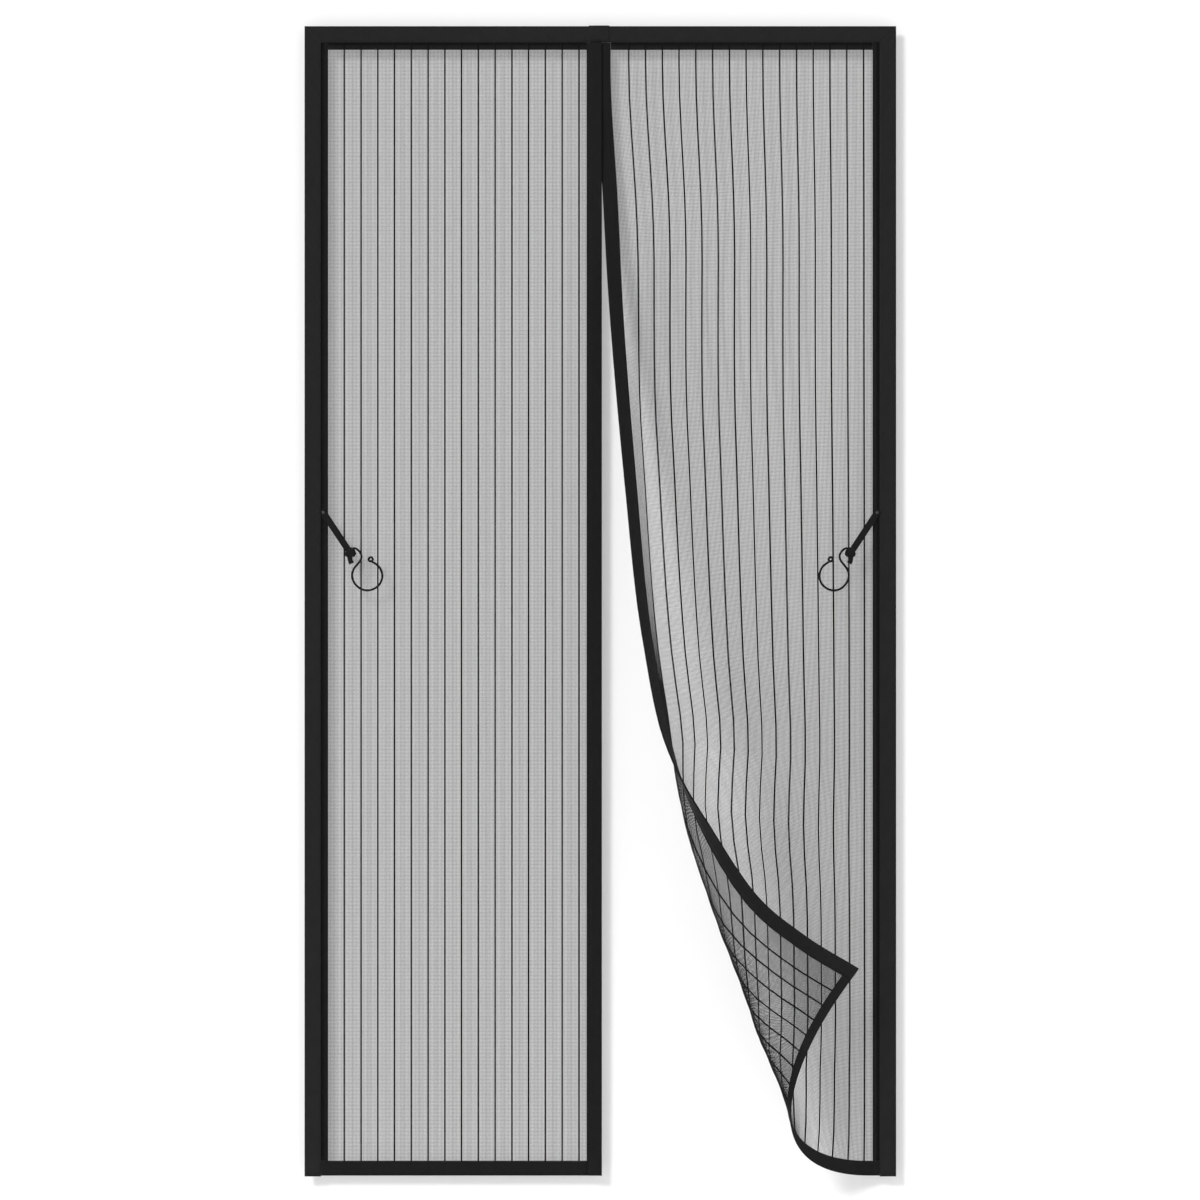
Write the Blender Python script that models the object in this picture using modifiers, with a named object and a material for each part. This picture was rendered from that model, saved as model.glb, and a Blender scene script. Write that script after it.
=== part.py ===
"""Insect screen for a doorway: two leaves of striped net that close with magnets.

The screen hangs on a wall round a doorway by hook and loop tape. The left leaf hangs flat.
The right leaf is drawn aside: its free edge bows towards the room, turns over and lies back
across the leaf, so that its lower corner points up and to the right.

Metres. +X is to the right seen from the room, -Y points into the room, +Z is up. The origin is
in the middle of the adhesive face of the top hook tape, on the wall.
"""
import math

import bmesh
import bpy
import numpy as np
from mathutils import Matrix, Vector

# Whole screen
WIDTH = 1.080
HEIGHT = 2.100
CLEARANCE = 0.0003

# Border tapes sewn on the front, and the wider facings sewn behind the net
BORDER_WIDTH = 0.030
BORDER_THICKNESS = 0.0006
FACING_WIDTH = 0.043
FACING_THICKNESS = 0.0005

# Hook tape stuck to the wall, and loop tape sewn on the facings
TAPE_WIDTH = 0.025
TAPE_INSET = 0.0025
TAPE_THICKNESS = 0.0012
TAPE_END = 0.030

# Net with woven-in stripes
NET_THICKNESS = 0.0004
NET_INSET = 0.005
STRIPE_PITCH = 0.0306
STRIPE_MARGIN = 0.008
STRIPE_WIDTH = 0.003
STRIPE_THICKNESS = 0.0010
LEFT_FIRST_STRIPE = 0.0725
RIGHT_FIRST_STRIPE = 0.0595

# Hems of both leaves: cloth folded round the edge of the net
HEM_CLOTH = 0.0005
BOTTOM_HEM_HEIGHT = 0.027
BOTTOM_SHORT = 0.0015
NET_SHORT = 0.004
LEFT_HEM_WIDTH = 0.0277
RIGHT_HEM_WIDTH = 0.027
LEFT_FREE_EDGE = 0.003
RIGHT_FREE_EDGE = -0.008
NET_TUCK = 0.006
HEM_MARGIN = 0.005
HEM_SHOULDER = 0.003
POCKET_DEPTH = 0.0024
LEFT_LAP_TURN = math.radians(6.8)
RIGHT_LAP_TURN = math.radians(-4.0)

# Magnets sewn into the centre hems
MAGNET_COUNT = 9
MAGNET_LENGTH = 0.020
MAGNET_WIDTH = 0.010
MAGNET_THICKNESS = 0.0015
MAGNET_FIRST = 0.110
MAGNET_LAST = 0.060
MAGNET_EASE = 0.014

# Tab folded over the top edge where the two leaves meet
TAB_LEFT = 0.0205
TAB_RIGHT = 0.0165
TAB_SHORT = 0.0015
TAB_THICKNESS = 0.0005
TAB_RISE = 0.0011
TAB_CORNER = 0.0005

# Tie-backs: elastic strap knotted round a wire hook and riveted to the leaf
ANCHOR_INSET = 0.0345
ANCHOR_DROP = 0.888
STRAP_WIDTH = 0.012
STRAP_THICKNESS = 0.0012
STRAP_END = 0.006
RIVET_SHANK_RADIUS = 0.0012
RIVET_HEAD_RADIUS = 0.0030
RIVET_HEAD_THICKNESS = 0.0008
RIVET_FLANGE_RADIUS = 0.0024
RIVET_FLANGE_THICKNESS = 0.0005
KNOT_INWARD = 0.049
KNOT_BELOW = 0.074
KNOT_WIDTH = 0.0205
KNOT_HEIGHT = 0.0175
KNOT_THICKNESS = 0.0090
TAIL_LENGTH = 0.0190
TAIL_WIDTH = 0.0100
TIE_GAP = 0.0012
WIRE_RADIUS = 0.0018

# Wire hook: distances towards the middle of the screen and down from the knot's middle
HOOK_PATH = [
    (0.0000, -0.0030), (0.0095, -0.0048), (0.0180, -0.0010), (0.0217, 0.0077), (0.0159, 0.0159),
    (0.0068, 0.0263), (0.0026, 0.0404), (0.0068, 0.0531), (0.0172, 0.0641), (0.0310, 0.0681),
    (0.0438, 0.0646), (0.0531, 0.0553), (0.0584, 0.0425), (0.0555, 0.0309), (0.0497, 0.0228),
]
EYE_INWARD = 0.0374
EYE_BELOW = 0.0119
EYE_RADIUS = 0.0034
EYE_DEGREES = range(70, 350, 34)

# Places across the thickness, from the wall into the room
HOOK_Y = -TAPE_THICKNESS / 2
LOOP_Y = HOOK_Y - TAPE_THICKNESS - CLEARANCE
FACING_Y = LOOP_Y - TAPE_THICKNESS / 2 - CLEARANCE - FACING_THICKNESS / 2
NET_Y = FACING_Y - FACING_THICKNESS / 2 - CLEARANCE - STRIPE_THICKNESS / 2
BORDER_Y = NET_Y - STRIPE_THICKNESS / 2 - CLEARANCE - BORDER_THICKNESS / 2
FRONT_Y = BORDER_Y - BORDER_THICKNESS / 2
TAB_Y = FRONT_Y - CLEARANCE - TAB_THICKNESS / 2
STRAP_Y = FRONT_Y - CLEARANCE - STRAP_THICKNESS / 2

# Places across the screen and down it
HALF = WIDTH / 2
TOP_Z = TAPE_INSET + TAPE_WIDTH / 2
LEAF_END = HEIGHT - BOTTOM_SHORT
INNER_BORDER = HALF - BORDER_WIDTH
INNER_FACING = HALF - FACING_WIDTH
HEM_TOP = BORDER_WIDTH + CLEARANCE
BOTTOM_HEM_TOP = LEAF_END - BOTTOM_HEM_HEIGHT
LEFT_HEM_INNER = LEFT_FREE_EDGE - LEFT_HEM_WIDTH
RIGHT_HEM_INNER = RIGHT_FREE_EDGE + RIGHT_HEM_WIDTH
LEFT_STRIPE_ROOM = HALF - LEFT_FIRST_STRIPE + LEFT_HEM_INNER - STRIPE_MARGIN
RIGHT_STRIPE_ROOM = HALF - RIGHT_FIRST_STRIPE - RIGHT_HEM_INNER - STRIPE_MARGIN
LEFT_STRIPES = [-HALF + LEFT_FIRST_STRIPE + STRIPE_PITCH * i
                for i in range(int(LEFT_STRIPE_ROOM / STRIPE_PITCH) + 1)]
RIGHT_STRIPES = [HALF - RIGHT_FIRST_STRIPE - STRIPE_PITCH * i
                 for i in range(int(RIGHT_STRIPE_ROOM / STRIPE_PITCH) + 1)]
LAST_STRIPE = RIGHT_STRIPES[-1]
LEG = NET_THICKNESS / 2 + CLEARANCE + HEM_CLOTH / 2
BOTTOM_LEG = STRIPE_THICKNESS / 2 + CLEARANCE + HEM_CLOTH / 2
POCKET = POCKET_DEPTH / 2 + HEM_CLOTH / 2
TAB_HEIGHT = BORDER_WIDTH - TAB_SHORT


def material(name, colour, roughness, metallic=0.0):
    mat = bpy.data.materials.new(name)
    mat.use_nodes = True
    shader = mat.node_tree.nodes["Principled BSDF"]
    shader.inputs["Base Color"].default_value = (*colour, 1.0)
    shader.inputs["Roughness"].default_value = roughness
    shader.inputs["Metallic"].default_value = metallic
    mat.diffuse_color = (*colour, 1.0)
    return mat


def put(name, mesh, mat, collection):
    ob = bpy.data.objects.new(name, mesh)
    mesh.materials.append(mat)
    collection.objects.link(ob)
    return ob


def grid_mesh(name, points):
    """Open surface through an array of points, rows x columns x 3."""
    rows, columns = points.shape[:2]
    number = np.arange(rows * columns).reshape(rows, columns)
    quads = np.stack([number[:-1, :-1], number[:-1, 1:], number[1:, 1:], number[1:, :-1]], -1)
    mesh = bpy.data.meshes.new(name)
    mesh.from_pydata(points.reshape(-1, 3).tolist(), [], quads.reshape(-1, 4).tolist())
    return mesh


def cloth(name, points, thickness, mat, collection):
    """Cloth of one thickness, half of it on each side of the surface through the points."""
    ob = put(name, grid_mesh(name, points), mat, collection)
    wall = ob.modifiers.new("thickness", "SOLIDIFY")
    wall.thickness = thickness
    wall.offset = 0.0
    wall.use_even_offset = True
    return ob


def strip(name, top, bottom, y, thickness, mat, collection):
    """Flat piece between two edges, each given as (x of its left end, x of its right end, drop)."""
    points = [[(top[0], y, TOP_Z - top[2]), (top[1], y, TOP_Z - top[2])],
              [(bottom[0], y, TOP_Z - bottom[2]), (bottom[1], y, TOP_Z - bottom[2])]]
    return cloth(name, np.array(points), thickness, mat, collection)


# Drape of the right leaf. Each station is a level of the free hem: its height down the flat leaf
# and down the wall as shares of the leaf's height, how far it is moved to the right and out from
# the wall as shares of the leaf's width, the turn of the hem in degrees, and how strongly the net
# pulls away from the side border and from the free end.
STATIONS = [
    # down the leaf, down the wall, moved, out, turn, side pull, free pull
    (0.000, 0.000, 0.000, 0.000, math.degrees(RIGHT_LAP_TURN), 1.00, 1.00),
    (0.043, 0.043, 0.000, 0.000, math.degrees(RIGHT_LAP_TURN), 1.00, 1.00),
    (0.152, 0.151, 0.026, 0.004, 0.0, 1.00, 1.00),
    (0.240, 0.238, 0.045, 0.067, 22.0, 1.00, 1.00),
    (0.403, 0.394, 0.099, 0.246, 38.0, 1.00, 1.00),
    (0.551, 0.534, 0.163, 0.417, 51.0, 0.95, 0.90),
    (0.648, 0.621, 0.237, 0.521, 66.0, 0.85, 0.75),
    (0.689, 0.653, 0.285, 0.553, 90.0, 0.78, 0.65),
    (0.753, 0.701, 0.389, 0.572, 134.0, 0.64, 0.46),
    (0.845, 0.763, 0.567, 0.502, 158.0, 0.88, 0.86),
    (0.913, 0.794, 0.727, 0.378, 170.0, 1.30, 1.25),
    (1.000, 0.824, 0.930, 0.171, 176.0, 1.47, 1.35),
]
SIDE_LEAVING_TURN = math.radians(20)
LAST_PANEL_TURN = math.radians(24)
LAST_STRIPE_TURN = math.radians(-12)

# The turned-over corner lifts the middle of the bottom hem towards the room
LIFT = 0.0543
LIFT_START = 0.81
LIFT_SKEW = 1.18


def ramp(value, start, end):
    """0 up to start, 1 from end on, and a smooth S between them."""
    t = np.clip((value - start) / (end - start), 0.0, 1.0)
    return t * t * (3 - 2 * t)


def unit(vectors):
    return vectors / np.linalg.norm(vectors, axis=-1, keepdims=True)


def station(share):
    """Values of the drape's stations at shares of the leaf's height, on smooth cubics through them."""
    table = np.array(STATIONS)
    level, value = table[:, 0], table[:, 1:]
    slope = np.gradient(value, level, axis=0)
    k = np.clip(np.searchsorted(level, share, side="right") - 1, 0, len(level) - 2)
    step = (level[k + 1] - level[k])[:, None]
    t = (share - level[k])[:, None] / step
    return ((1 + 2 * t) * (1 - t) ** 2 * value[k] + t * (1 - t) ** 2 * step * slope[k]
            + t * t * (3 - 2 * t) * value[k + 1] + t * t * (t - 1) * step * slope[k + 1])


def hem_line(drop):
    """Middle of the right leaf's free hem at distances down the flat leaf, and its other values."""
    value = station(drop / LEAF_END)
    middle = RIGHT_FREE_EDGE + RIGHT_HEM_WIDTH / 2
    reach = INNER_FACING - middle
    lap = math.sin(-RIGHT_LAP_TURN) * RIGHT_HEM_WIDTH / 2 * (1 - ramp(drop / LEAF_END, 0.043, 0.152))
    points = np.stack([middle + value[:, 1] * reach,
                       NET_Y + lap - value[:, 2] * reach,
                       TOP_Z - value[:, 0] * LEAF_END], -1)
    return points, value


def hem_frame(drop):
    """Hem middle, directions to the left and into the room square to the hem, and its turn."""
    middle, value = hem_line(drop)
    step = 0.001
    along = unit(hem_line(drop + step)[0] - hem_line(drop - step)[0])
    left = unit(np.cross(along, np.array([0.0, -1.0, 0.0])))
    front = unit(np.cross(left, along))
    return middle, left, front, value


def turned(left, front, angle):
    return np.cos(angle)[:, None] * left + np.sin(angle)[:, None] * front


def right_leaf(x, drop):
    """Points of the draped right leaf at flat places x and drops: array drops x places x 3.

    Outside the facing's inner edge the leaf is flat. Each thread across it then follows one cubic
    from the facing to the last stripe, evenly along its length. The last panel and the hem are
    straight strips, each with its own turn about the hem's line.
    """
    x = np.asarray(x, float)
    drop = np.asarray(drop, float)
    share = drop / LEAF_END
    middle, left, front, value = hem_frame(drop)
    turn = np.radians(value[:, 3])
    stiff = ramp(share, 0.19, 0.36) * (1 - ramp(share, 0.66, 0.77))
    hem_way = turned(left, front, turn)
    outward = np.maximum(turn, 0.0)
    panel_way = turned(left, front, outward + LAST_PANEL_TURN * stiff)
    stripe_way = turned(left, front, outward + LAST_STRIPE_TURN * stiff)
    inner = middle - hem_way * RIGHT_HEM_WIDTH / 2
    join = inner - panel_way * (LAST_STRIPE - RIGHT_HEM_INNER)
    root = np.stack([np.full_like(drop, INNER_FACING), np.full_like(drop, NET_Y), TOP_Z - drop], -1)
    leaving = SIDE_LEAVING_TURN * ramp(share, 0.14, 0.57)
    root_way = np.stack([-np.cos(leaving), -np.sin(leaving), 0 * drop], -1)
    reach = INNER_FACING - LAST_STRIPE
    t = np.linspace(0, 1, 161)[None, :, None]
    path = ((1 + 2 * t) * (1 - t) ** 2 * root[:, None]
            + t * (1 - t) ** 2 * (root_way * reach * value[:, 4:5])[:, None]
            + t * t * (3 - 2 * t) * join[:, None]
            + t * t * (t - 1) * (stripe_way * reach * value[:, 5:6])[:, None])
    length = np.cumsum(np.linalg.norm(np.diff(path, axis=1), axis=-1), axis=1)
    length = np.pad(length, ((0, 0), (1, 0))) / length[:, -1:]
    share_across = np.clip((INNER_FACING - x) / reach, 0, 1)
    points = np.empty((len(drop), len(x), 3))
    for row in range(len(drop)):
        for axis in range(3):
            points[row, :, axis] = np.interp(share_across, length[row], path[row, :, axis])
    lift = LIFT * np.clip((share - LIFT_START) / (1 - LIFT_START), 0, 1) ** 2
    points[:, :, 1] -= lift[:, None] * np.sin(np.pi * share_across ** LIFT_SKEW) ** 2
    flat = np.stack(np.broadcast_arrays(x[None, :], np.float64(NET_Y), TOP_Z - drop[:, None]), -1)
    panel = join[:, None] + (LAST_STRIPE - x)[None, :, None] * panel_way[:, None]
    hem = inner[:, None] + (RIGHT_HEM_INNER - x)[None, :, None] * hem_way[:, None]
    place = x[None, :, None]
    points = np.where(place > INNER_FACING, flat, points)
    points = np.where(place < LAST_STRIPE, panel, points)
    return np.where(place < RIGHT_HEM_INNER, hem, points)


def right_leaf_front(x, drop):
    """Unit normals of the right leaf on the side that faces the room where it hangs flat."""
    step = 0.0002
    across = right_leaf(np.asarray(x) + step, drop) - right_leaf(np.asarray(x) - step, drop)
    down = right_leaf(x, np.asarray(drop) + step) - right_leaf(x, np.asarray(drop) - step)
    return unit(np.cross(down, across))


def right_leaf_depth(x, z):
    """Y of the right leaf behind a point (x, z) near its side, where it has not turned over."""
    place, drop = x, TOP_Z - z
    for _ in range(8):
        point = right_leaf([place], [drop])[0, 0]
        place += x - point[0]
        drop += point[2] - z
    return point[1]


# Levels at which the right leaf is bent, as shares of its height
BENDS = (0.09, 0.15, 0.20, 0.25, 0.32, 0.40, 0.47, 0.53, 0.58, 0.62, 0.65, 0.68, 0.71, 0.74,
         0.77, 0.80, 0.83, 0.86, 0.89, 0.92, 0.95, 0.975)


def stripe_columns(stripes, edges, middles=()):
    """Places of the net's columns: three for a stripe, with the tops of the stripes marked."""
    places = [(x + side * STRIPE_WIDTH / 2, side == 0) for x in stripes for side in (-1, 0, 1)]
    places += [(x, False) for x in (*edges, *middles)]
    places.sort()
    return np.array([p[0] for p in places]), [i for i, p in enumerate(places) if p[1]]


def net(name, points, tops, mat, collection):
    """Net with raised stripes: the named columns have the stripes' thickness, the rest the net's."""
    ob = cloth(name, points, STRIPE_THICKNESS, mat, collection)
    columns = points.shape[1]
    raised = [row * columns + top for row in range(points.shape[0]) for top in tops]
    group = ob.vertex_groups.new(name="stripes")
    group.add(raised, 1.0, "REPLACE")
    wall = ob.modifiers["thickness"]
    wall.use_even_offset = False
    wall.vertex_group = group.name
    wall.thickness_vertex_group = NET_THICKNESS / STRIPE_THICKNESS
    return ob


def hem_profile(inner, free):
    """Fold of a centre hem as (x, out): thin at the seam, then the pocket for the magnets."""
    way = math.copysign(1, free - inner)
    seam = inner + way * CLEARANCE
    edge = free - way * HEM_CLOTH / 2
    shoulder = inner + way * (HEM_MARGIN + HEM_SHOULDER)
    front = [(seam, LEG), (inner + way * HEM_MARGIN, LEG), (shoulder, POCKET),
             (edge - way * POCKET / 2, POCKET), (edge, POCKET / 2)]
    return front + [(x, -out) for x, out in reversed(front)]


def magnet_drops():
    first = HEM_TOP + MAGNET_FIRST
    last = LEAF_END - MAGNET_LAST
    return [first + (last - first) * i / (MAGNET_COUNT - 1) for i in range(MAGNET_COUNT)]


def block(name, size, matrix, mat, collection):
    mesh = bpy.data.meshes.new(name)
    bm = bmesh.new()
    bmesh.ops.create_cube(bm, size=1.0, matrix=Matrix.Diagonal((*size, 1.0)))
    bm.to_mesh(mesh)
    bm.free()
    ob = put(name, mesh, mat, collection)
    ob.matrix_world = matrix
    return ob


def build_left_leaf(fabric, net_mat, magnet_mat, collection):
    net_edge = LEFT_HEM_INNER + NET_TUCK
    edges = (-HALF + NET_INSET, -INNER_BORDER, LEFT_HEM_INNER, net_edge)
    columns, tops = stripe_columns(LEFT_STRIPES, edges)
    net_end = LEAF_END - NET_SHORT
    tuck_turn = math.tan(LEFT_LAP_TURN)
    rows = []
    narrow = 2 * CLEARANCE
    for drop, tuck in ((NET_INSET, narrow), (HEM_TOP, narrow), (HEM_TOP + NET_TUCK, NET_TUCK),
                       (net_end, NET_TUCK)):
        places = [min(x, LEFT_HEM_INNER + tuck) for x in columns]
        out = [NET_Y - tuck_turn * max(0.0, x - LEFT_HEM_INNER) for x in places]
        rows.append([(x, y, TOP_Z - drop) for x, y in zip(places, out)])
    screen = net("left_screen", np.array(rows), tops, net_mat, collection)

    profile = hem_profile(LEFT_HEM_INNER, LEFT_FREE_EDGE)
    sine, cosine = math.sin(LEFT_LAP_TURN), math.cos(LEFT_LAP_TURN)
    rows = []
    for drop in (HEM_TOP, LEAF_END):
        rows.append([(LEFT_HEM_INNER + (x - LEFT_HEM_INNER) * cosine - out * sine,
                      NET_Y - (x - LEFT_HEM_INNER) * sine - out * cosine,
                      TOP_Z - drop) for x, out in profile])
    cloth("left_centre_hem", np.array(rows), HEM_CLOTH, fabric, collection)

    pocket_middle = (LEFT_HEM_INNER + HEM_MARGIN + HEM_SHOULDER + LEFT_FREE_EDGE) / 2
    out = pocket_middle - LEFT_HEM_INNER
    for i, drop in enumerate(magnet_drops()):
        place = Vector((LEFT_HEM_INNER + out * cosine, NET_Y - out * sine, TOP_Z - drop))
        matrix = Matrix.Translation(place) @ Matrix.Rotation(-LEFT_LAP_TURN, 4, "Z")
        size = (MAGNET_WIDTH, MAGNET_THICKNESS, MAGNET_LENGTH)
        block(f"left_magnet_{i + 1}", size, matrix, magnet_mat, collection)

    ends = np.array([-INNER_BORDER + CLEARANCE, LEFT_HEM_INNER - CLEARANCE])
    fold = LEAF_END - HEM_CLOTH / 2
    section = [(BOTTOM_HEM_TOP, BOTTOM_LEG), (fold, BOTTOM_LEG),
               (fold, -BOTTOM_LEG), (BOTTOM_HEM_TOP, -BOTTOM_LEG)]
    rows = [[(x, NET_Y - out, TOP_Z - drop) for drop, out in section] for x in ends]
    cloth("left_bottom_hem", np.array(rows), HEM_CLOTH, fabric, collection)
    return screen


def build_right_leaf(fabric, net_mat, magnet_mat, collection):
    net_edge = RIGHT_HEM_INNER - NET_TUCK
    panels = [x - STRIPE_PITCH / 2 for x in RIGHT_STRIPES[2:-2]]
    edges = (HALF - NET_INSET, INNER_BORDER, INNER_FACING, RIGHT_HEM_INNER, net_edge)
    columns, tops = stripe_columns(RIGHT_STRIPES, edges, panels)
    levels = [share * LEAF_END for share in BENDS]
    net_end = LEAF_END - NET_SHORT
    hem_middle = LEAF_END - BOTTOM_HEM_HEIGHT / 2
    drops = np.array([NET_INSET, FACING_WIDTH, *levels, BOTTOM_HEM_TOP, hem_middle, net_end])
    screen = net("right_screen", right_leaf(columns, drops), tops, net_mat, collection)

    profile = hem_profile(RIGHT_HEM_INNER, RIGHT_FREE_EDGE)
    places = np.array([x for x, _ in profile])
    out = np.array([o for _, o in profile])[None, :, None]
    drops = np.array([HEM_TOP, FACING_WIDTH, *levels, BOTTOM_HEM_TOP, LEAF_END])
    inside = np.minimum(places, RIGHT_HEM_INNER - CLEARANCE)
    points = right_leaf(places, drops) + out * right_leaf_front(inside, drops)
    cloth("right_centre_hem", points, HEM_CLOTH, fabric, collection)

    pocket_middle = (RIGHT_HEM_INNER - HEM_MARGIN - HEM_SHOULDER + RIGHT_FREE_EDGE) / 2
    for i, drop in enumerate(magnet_drops()):
        k = int(np.searchsorted(drops, drop)) - 1
        drop = min(max(drop, drops[k] + MAGNET_EASE), drops[k + 1] - MAGNET_EASE)
        t = (drop - drops[k]) / (drops[k + 1] - drops[k])
        places = [pocket_middle - MAGNET_WIDTH / 2, pocket_middle + MAGNET_WIDTH / 2]
        rows = right_leaf(places, drops[k:k + 2])
        ends = rows.mean(axis=1)
        place = ends[0] * (1 - t) + ends[1] * t
        down = unit(ends[1] - ends[0])
        wide = (rows[0, 1] - rows[0, 0]) * (1 - t) + (rows[1, 1] - rows[1, 0]) * t
        front = unit(np.cross(down, wide))
        across = np.cross(front, down)
        matrix = Matrix.Identity(4)
        for column, axis in enumerate((across, front, down)):
            matrix.col[column][:3] = axis
        matrix.col[3][:3] = place
        size = (MAGNET_WIDTH, MAGNET_THICKNESS, MAGNET_LENGTH)
        block(f"right_magnet_{i + 1}", size, matrix, magnet_mat, collection)

    fold = LEAF_END - HEM_CLOTH / 2
    section = [(BOTTOM_HEM_TOP, BOTTOM_LEG), (hem_middle, BOTTOM_LEG), (fold, BOTTOM_LEG),
               (fold, -BOTTOM_LEG), (hem_middle, -BOTTOM_LEG), (BOTTOM_HEM_TOP, -BOTTOM_LEG)]
    places = np.array([x for x in columns if RIGHT_HEM_INNER < x < INNER_BORDER]
                      + [RIGHT_HEM_INNER + CLEARANCE, INNER_BORDER - CLEARANCE])
    places.sort()
    drops = np.array([drop for drop, _ in section])
    out = np.array([o for _, o in section])[:, None, None]
    points = right_leaf(places, drops) + out * right_leaf_front(places, drops)
    cloth("right_bottom_hem", points, HEM_CLOTH, fabric, collection)
    return screen


def build_borders(fabric, collection):
    """Front borders with mitred top corners, and the facings behind the net."""
    leaves = (("left", -1, LEFT_FREE_EDGE - CLEARANCE, LEFT_HEM_INNER - CLEARANCE),
              ("right", 1, LEFT_FREE_EDGE, RIGHT_HEM_INNER + CLEARANCE))
    facings = {}
    for side, way, middle, facing_end in leaves:
        gap = way * CLEARANCE
        outer, inner = way * HALF, way * INNER_BORDER
        corner = [(outer, 0.0), (inner, BORDER_WIDTH), (inner, HEIGHT), (outer, HEIGHT)]
        points = [[(x, BORDER_Y, TOP_Z - d) for x, d in (corner[0], corner[1])],
                  [(x, BORDER_Y, TOP_Z - d) for x, d in (corner[3], corner[2])]]
        cloth(f"{side}_side_border", np.array(points), BORDER_THICKNESS, fabric, collection)
        edge = TOP_Z - BORDER_WIDTH
        points = [[(outer - 2 * gap, BORDER_Y, TOP_Z), (middle, BORDER_Y, TOP_Z)],
                  [(inner - 2 * gap, BORDER_Y, edge), (middle, BORDER_Y, edge)]]
        cloth(f"{side}_top_border", np.array(points), BORDER_THICKNESS, fabric, collection)

        inner = way * INNER_FACING
        facing_foot = BOTTOM_HEM_TOP - CLEARANCE
        facings[side] = strip(f"{side}_side_facing", (outer, inner, 0.0), (outer, inner, facing_foot),
                              FACING_Y, FACING_THICKNESS, fabric, collection)
        start = inner - gap
        strip(f"{side}_top_facing", (start, facing_end, 0.0), (start, facing_end, FACING_WIDTH),
              FACING_Y, FACING_THICKNESS, fabric, collection)
    return facings


def build_tapes(hook_mat, loop_mat, collection):
    """Adhesive hook tapes on the wall and the loop tapes in front of them."""
    far = HALF - TAPE_INSET
    near = far - TAPE_WIDTH
    foot = TAPE_INSET + TAPE_WIDTH
    side_top = foot + 2 * CLEARANCE
    side_end = HEIGHT - TAPE_END
    strip("hook_tape_top", (-far, far, TAPE_INSET), (-far, far, foot),
          HOOK_Y, TAPE_THICKNESS, hook_mat, collection)
    tops = (("left", -far, -TAB_LEFT - 2 * CLEARANCE), ("right", TAB_RIGHT + 2 * CLEARANCE, far))
    for side, start, end in tops:
        strip(f"loop_tape_top_{side}", (start, end, TAPE_INSET), (start, end, foot),
              LOOP_Y, TAPE_THICKNESS, loop_mat, collection)
    for side, start, end in (("left", -far, -near), ("right", near, far)):
        strip(f"hook_tape_{side}", (start, end, side_top), (start, end, side_end),
              HOOK_Y, TAPE_THICKNESS, hook_mat, collection)
        strip(f"loop_tape_{side}", (start, end, side_top), (start, end, side_end),
              LOOP_Y, TAPE_THICKNESS, loop_mat, collection)


def build_tab(fabric, collection):
    """Tab folded over the top edge, its back leg between the two loop tapes."""
    section = [(TAB_Y, TAB_HEIGHT), (TAB_Y, -CLEARANCE), (TAB_Y + TAB_CORNER, -TAB_RISE),
               (LOOP_Y - TAB_CORNER, -TAB_RISE), (LOOP_Y, -CLEARANCE), (LOOP_Y, TAB_HEIGHT)]
    rows = [[(x, y, TOP_Z - drop) for y, drop in section] for x in (-TAB_LEFT, TAB_RIGHT)]
    cloth("centre_tab", np.array(rows), TAB_THICKNESS, fabric, collection)


def smooth_path(points, steps):
    """Points on a Catmull-Rom curve through the given ones."""
    ends = [points[0] * 2 - points[1], *points, points[-1] * 2 - points[-2]]
    path = []
    for a, b, c, d in zip(ends, ends[1:], ends[2:], ends[3:]):
        for i in range(steps):
            t = i / steps
            path.append(((b * 2) + (c - a) * t + (a * 2 - b * 5 + c * 4 - d) * t * t
                         + (b * 3 - a - c * 3 + d) * t ** 3) / 2)
    return path + [points[-1]]


def wire(name, points, radius, mat, collection):
    """Round wire with closed ends along a path."""
    curve = bpy.data.curves.new(name, "CURVE")
    curve.dimensions = "3D"
    curve.bevel_depth = radius
    curve.bevel_resolution = 2
    curve.use_fill_caps = True
    line = curve.splines.new("POLY")
    line.points.add(len(points) - 1)
    for point, place in zip(line.points, points):
        point.co = (*place, 1.0)
    drawn = bpy.data.objects.new(name + "_path", curve)
    collection.objects.link(drawn)
    evaluated = drawn.evaluated_get(bpy.context.evaluated_depsgraph_get())
    mesh = bpy.data.meshes.new_from_object(evaluated)
    bpy.data.objects.remove(drawn)
    mesh.materials.clear()
    bm = bmesh.new()
    bm.from_mesh(mesh)
    bmesh.ops.remove_doubles(bm, verts=bm.verts, dist=1e-6)
    bmesh.ops.recalc_face_normals(bm, faces=bm.faces)
    bm.to_mesh(mesh)
    bm.free()
    mesh.shade_smooth()
    return put(name, mesh, mat, collection)


def add_shape(ob, other, operation, name):
    change = ob.modifiers.new(name, "BOOLEAN")
    change.operation = operation
    change.solver = "EXACT"
    change.object = other


def rivet_profile():
    """Outline of the rivet from the middle of its head to the middle of its back flange."""
    head = STRAP_Y - STRAP_THICKNESS / 2 - CLEARANCE
    back = FACING_Y + FACING_THICKNESS / 2 + CLEARANCE
    top = head - RIVET_HEAD_THICKNESS
    end = back + RIVET_FLANGE_THICKNESS
    return [(0.0, top), (RIVET_HEAD_RADIUS * 0.6, top), (RIVET_HEAD_RADIUS * 0.9, (top + head) / 2),
            (RIVET_HEAD_RADIUS, head), (RIVET_SHANK_RADIUS, head), (RIVET_SHANK_RADIUS, back),
            (RIVET_FLANGE_RADIUS, back), (RIVET_FLANGE_RADIUS, end), (0.0, end)]


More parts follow.
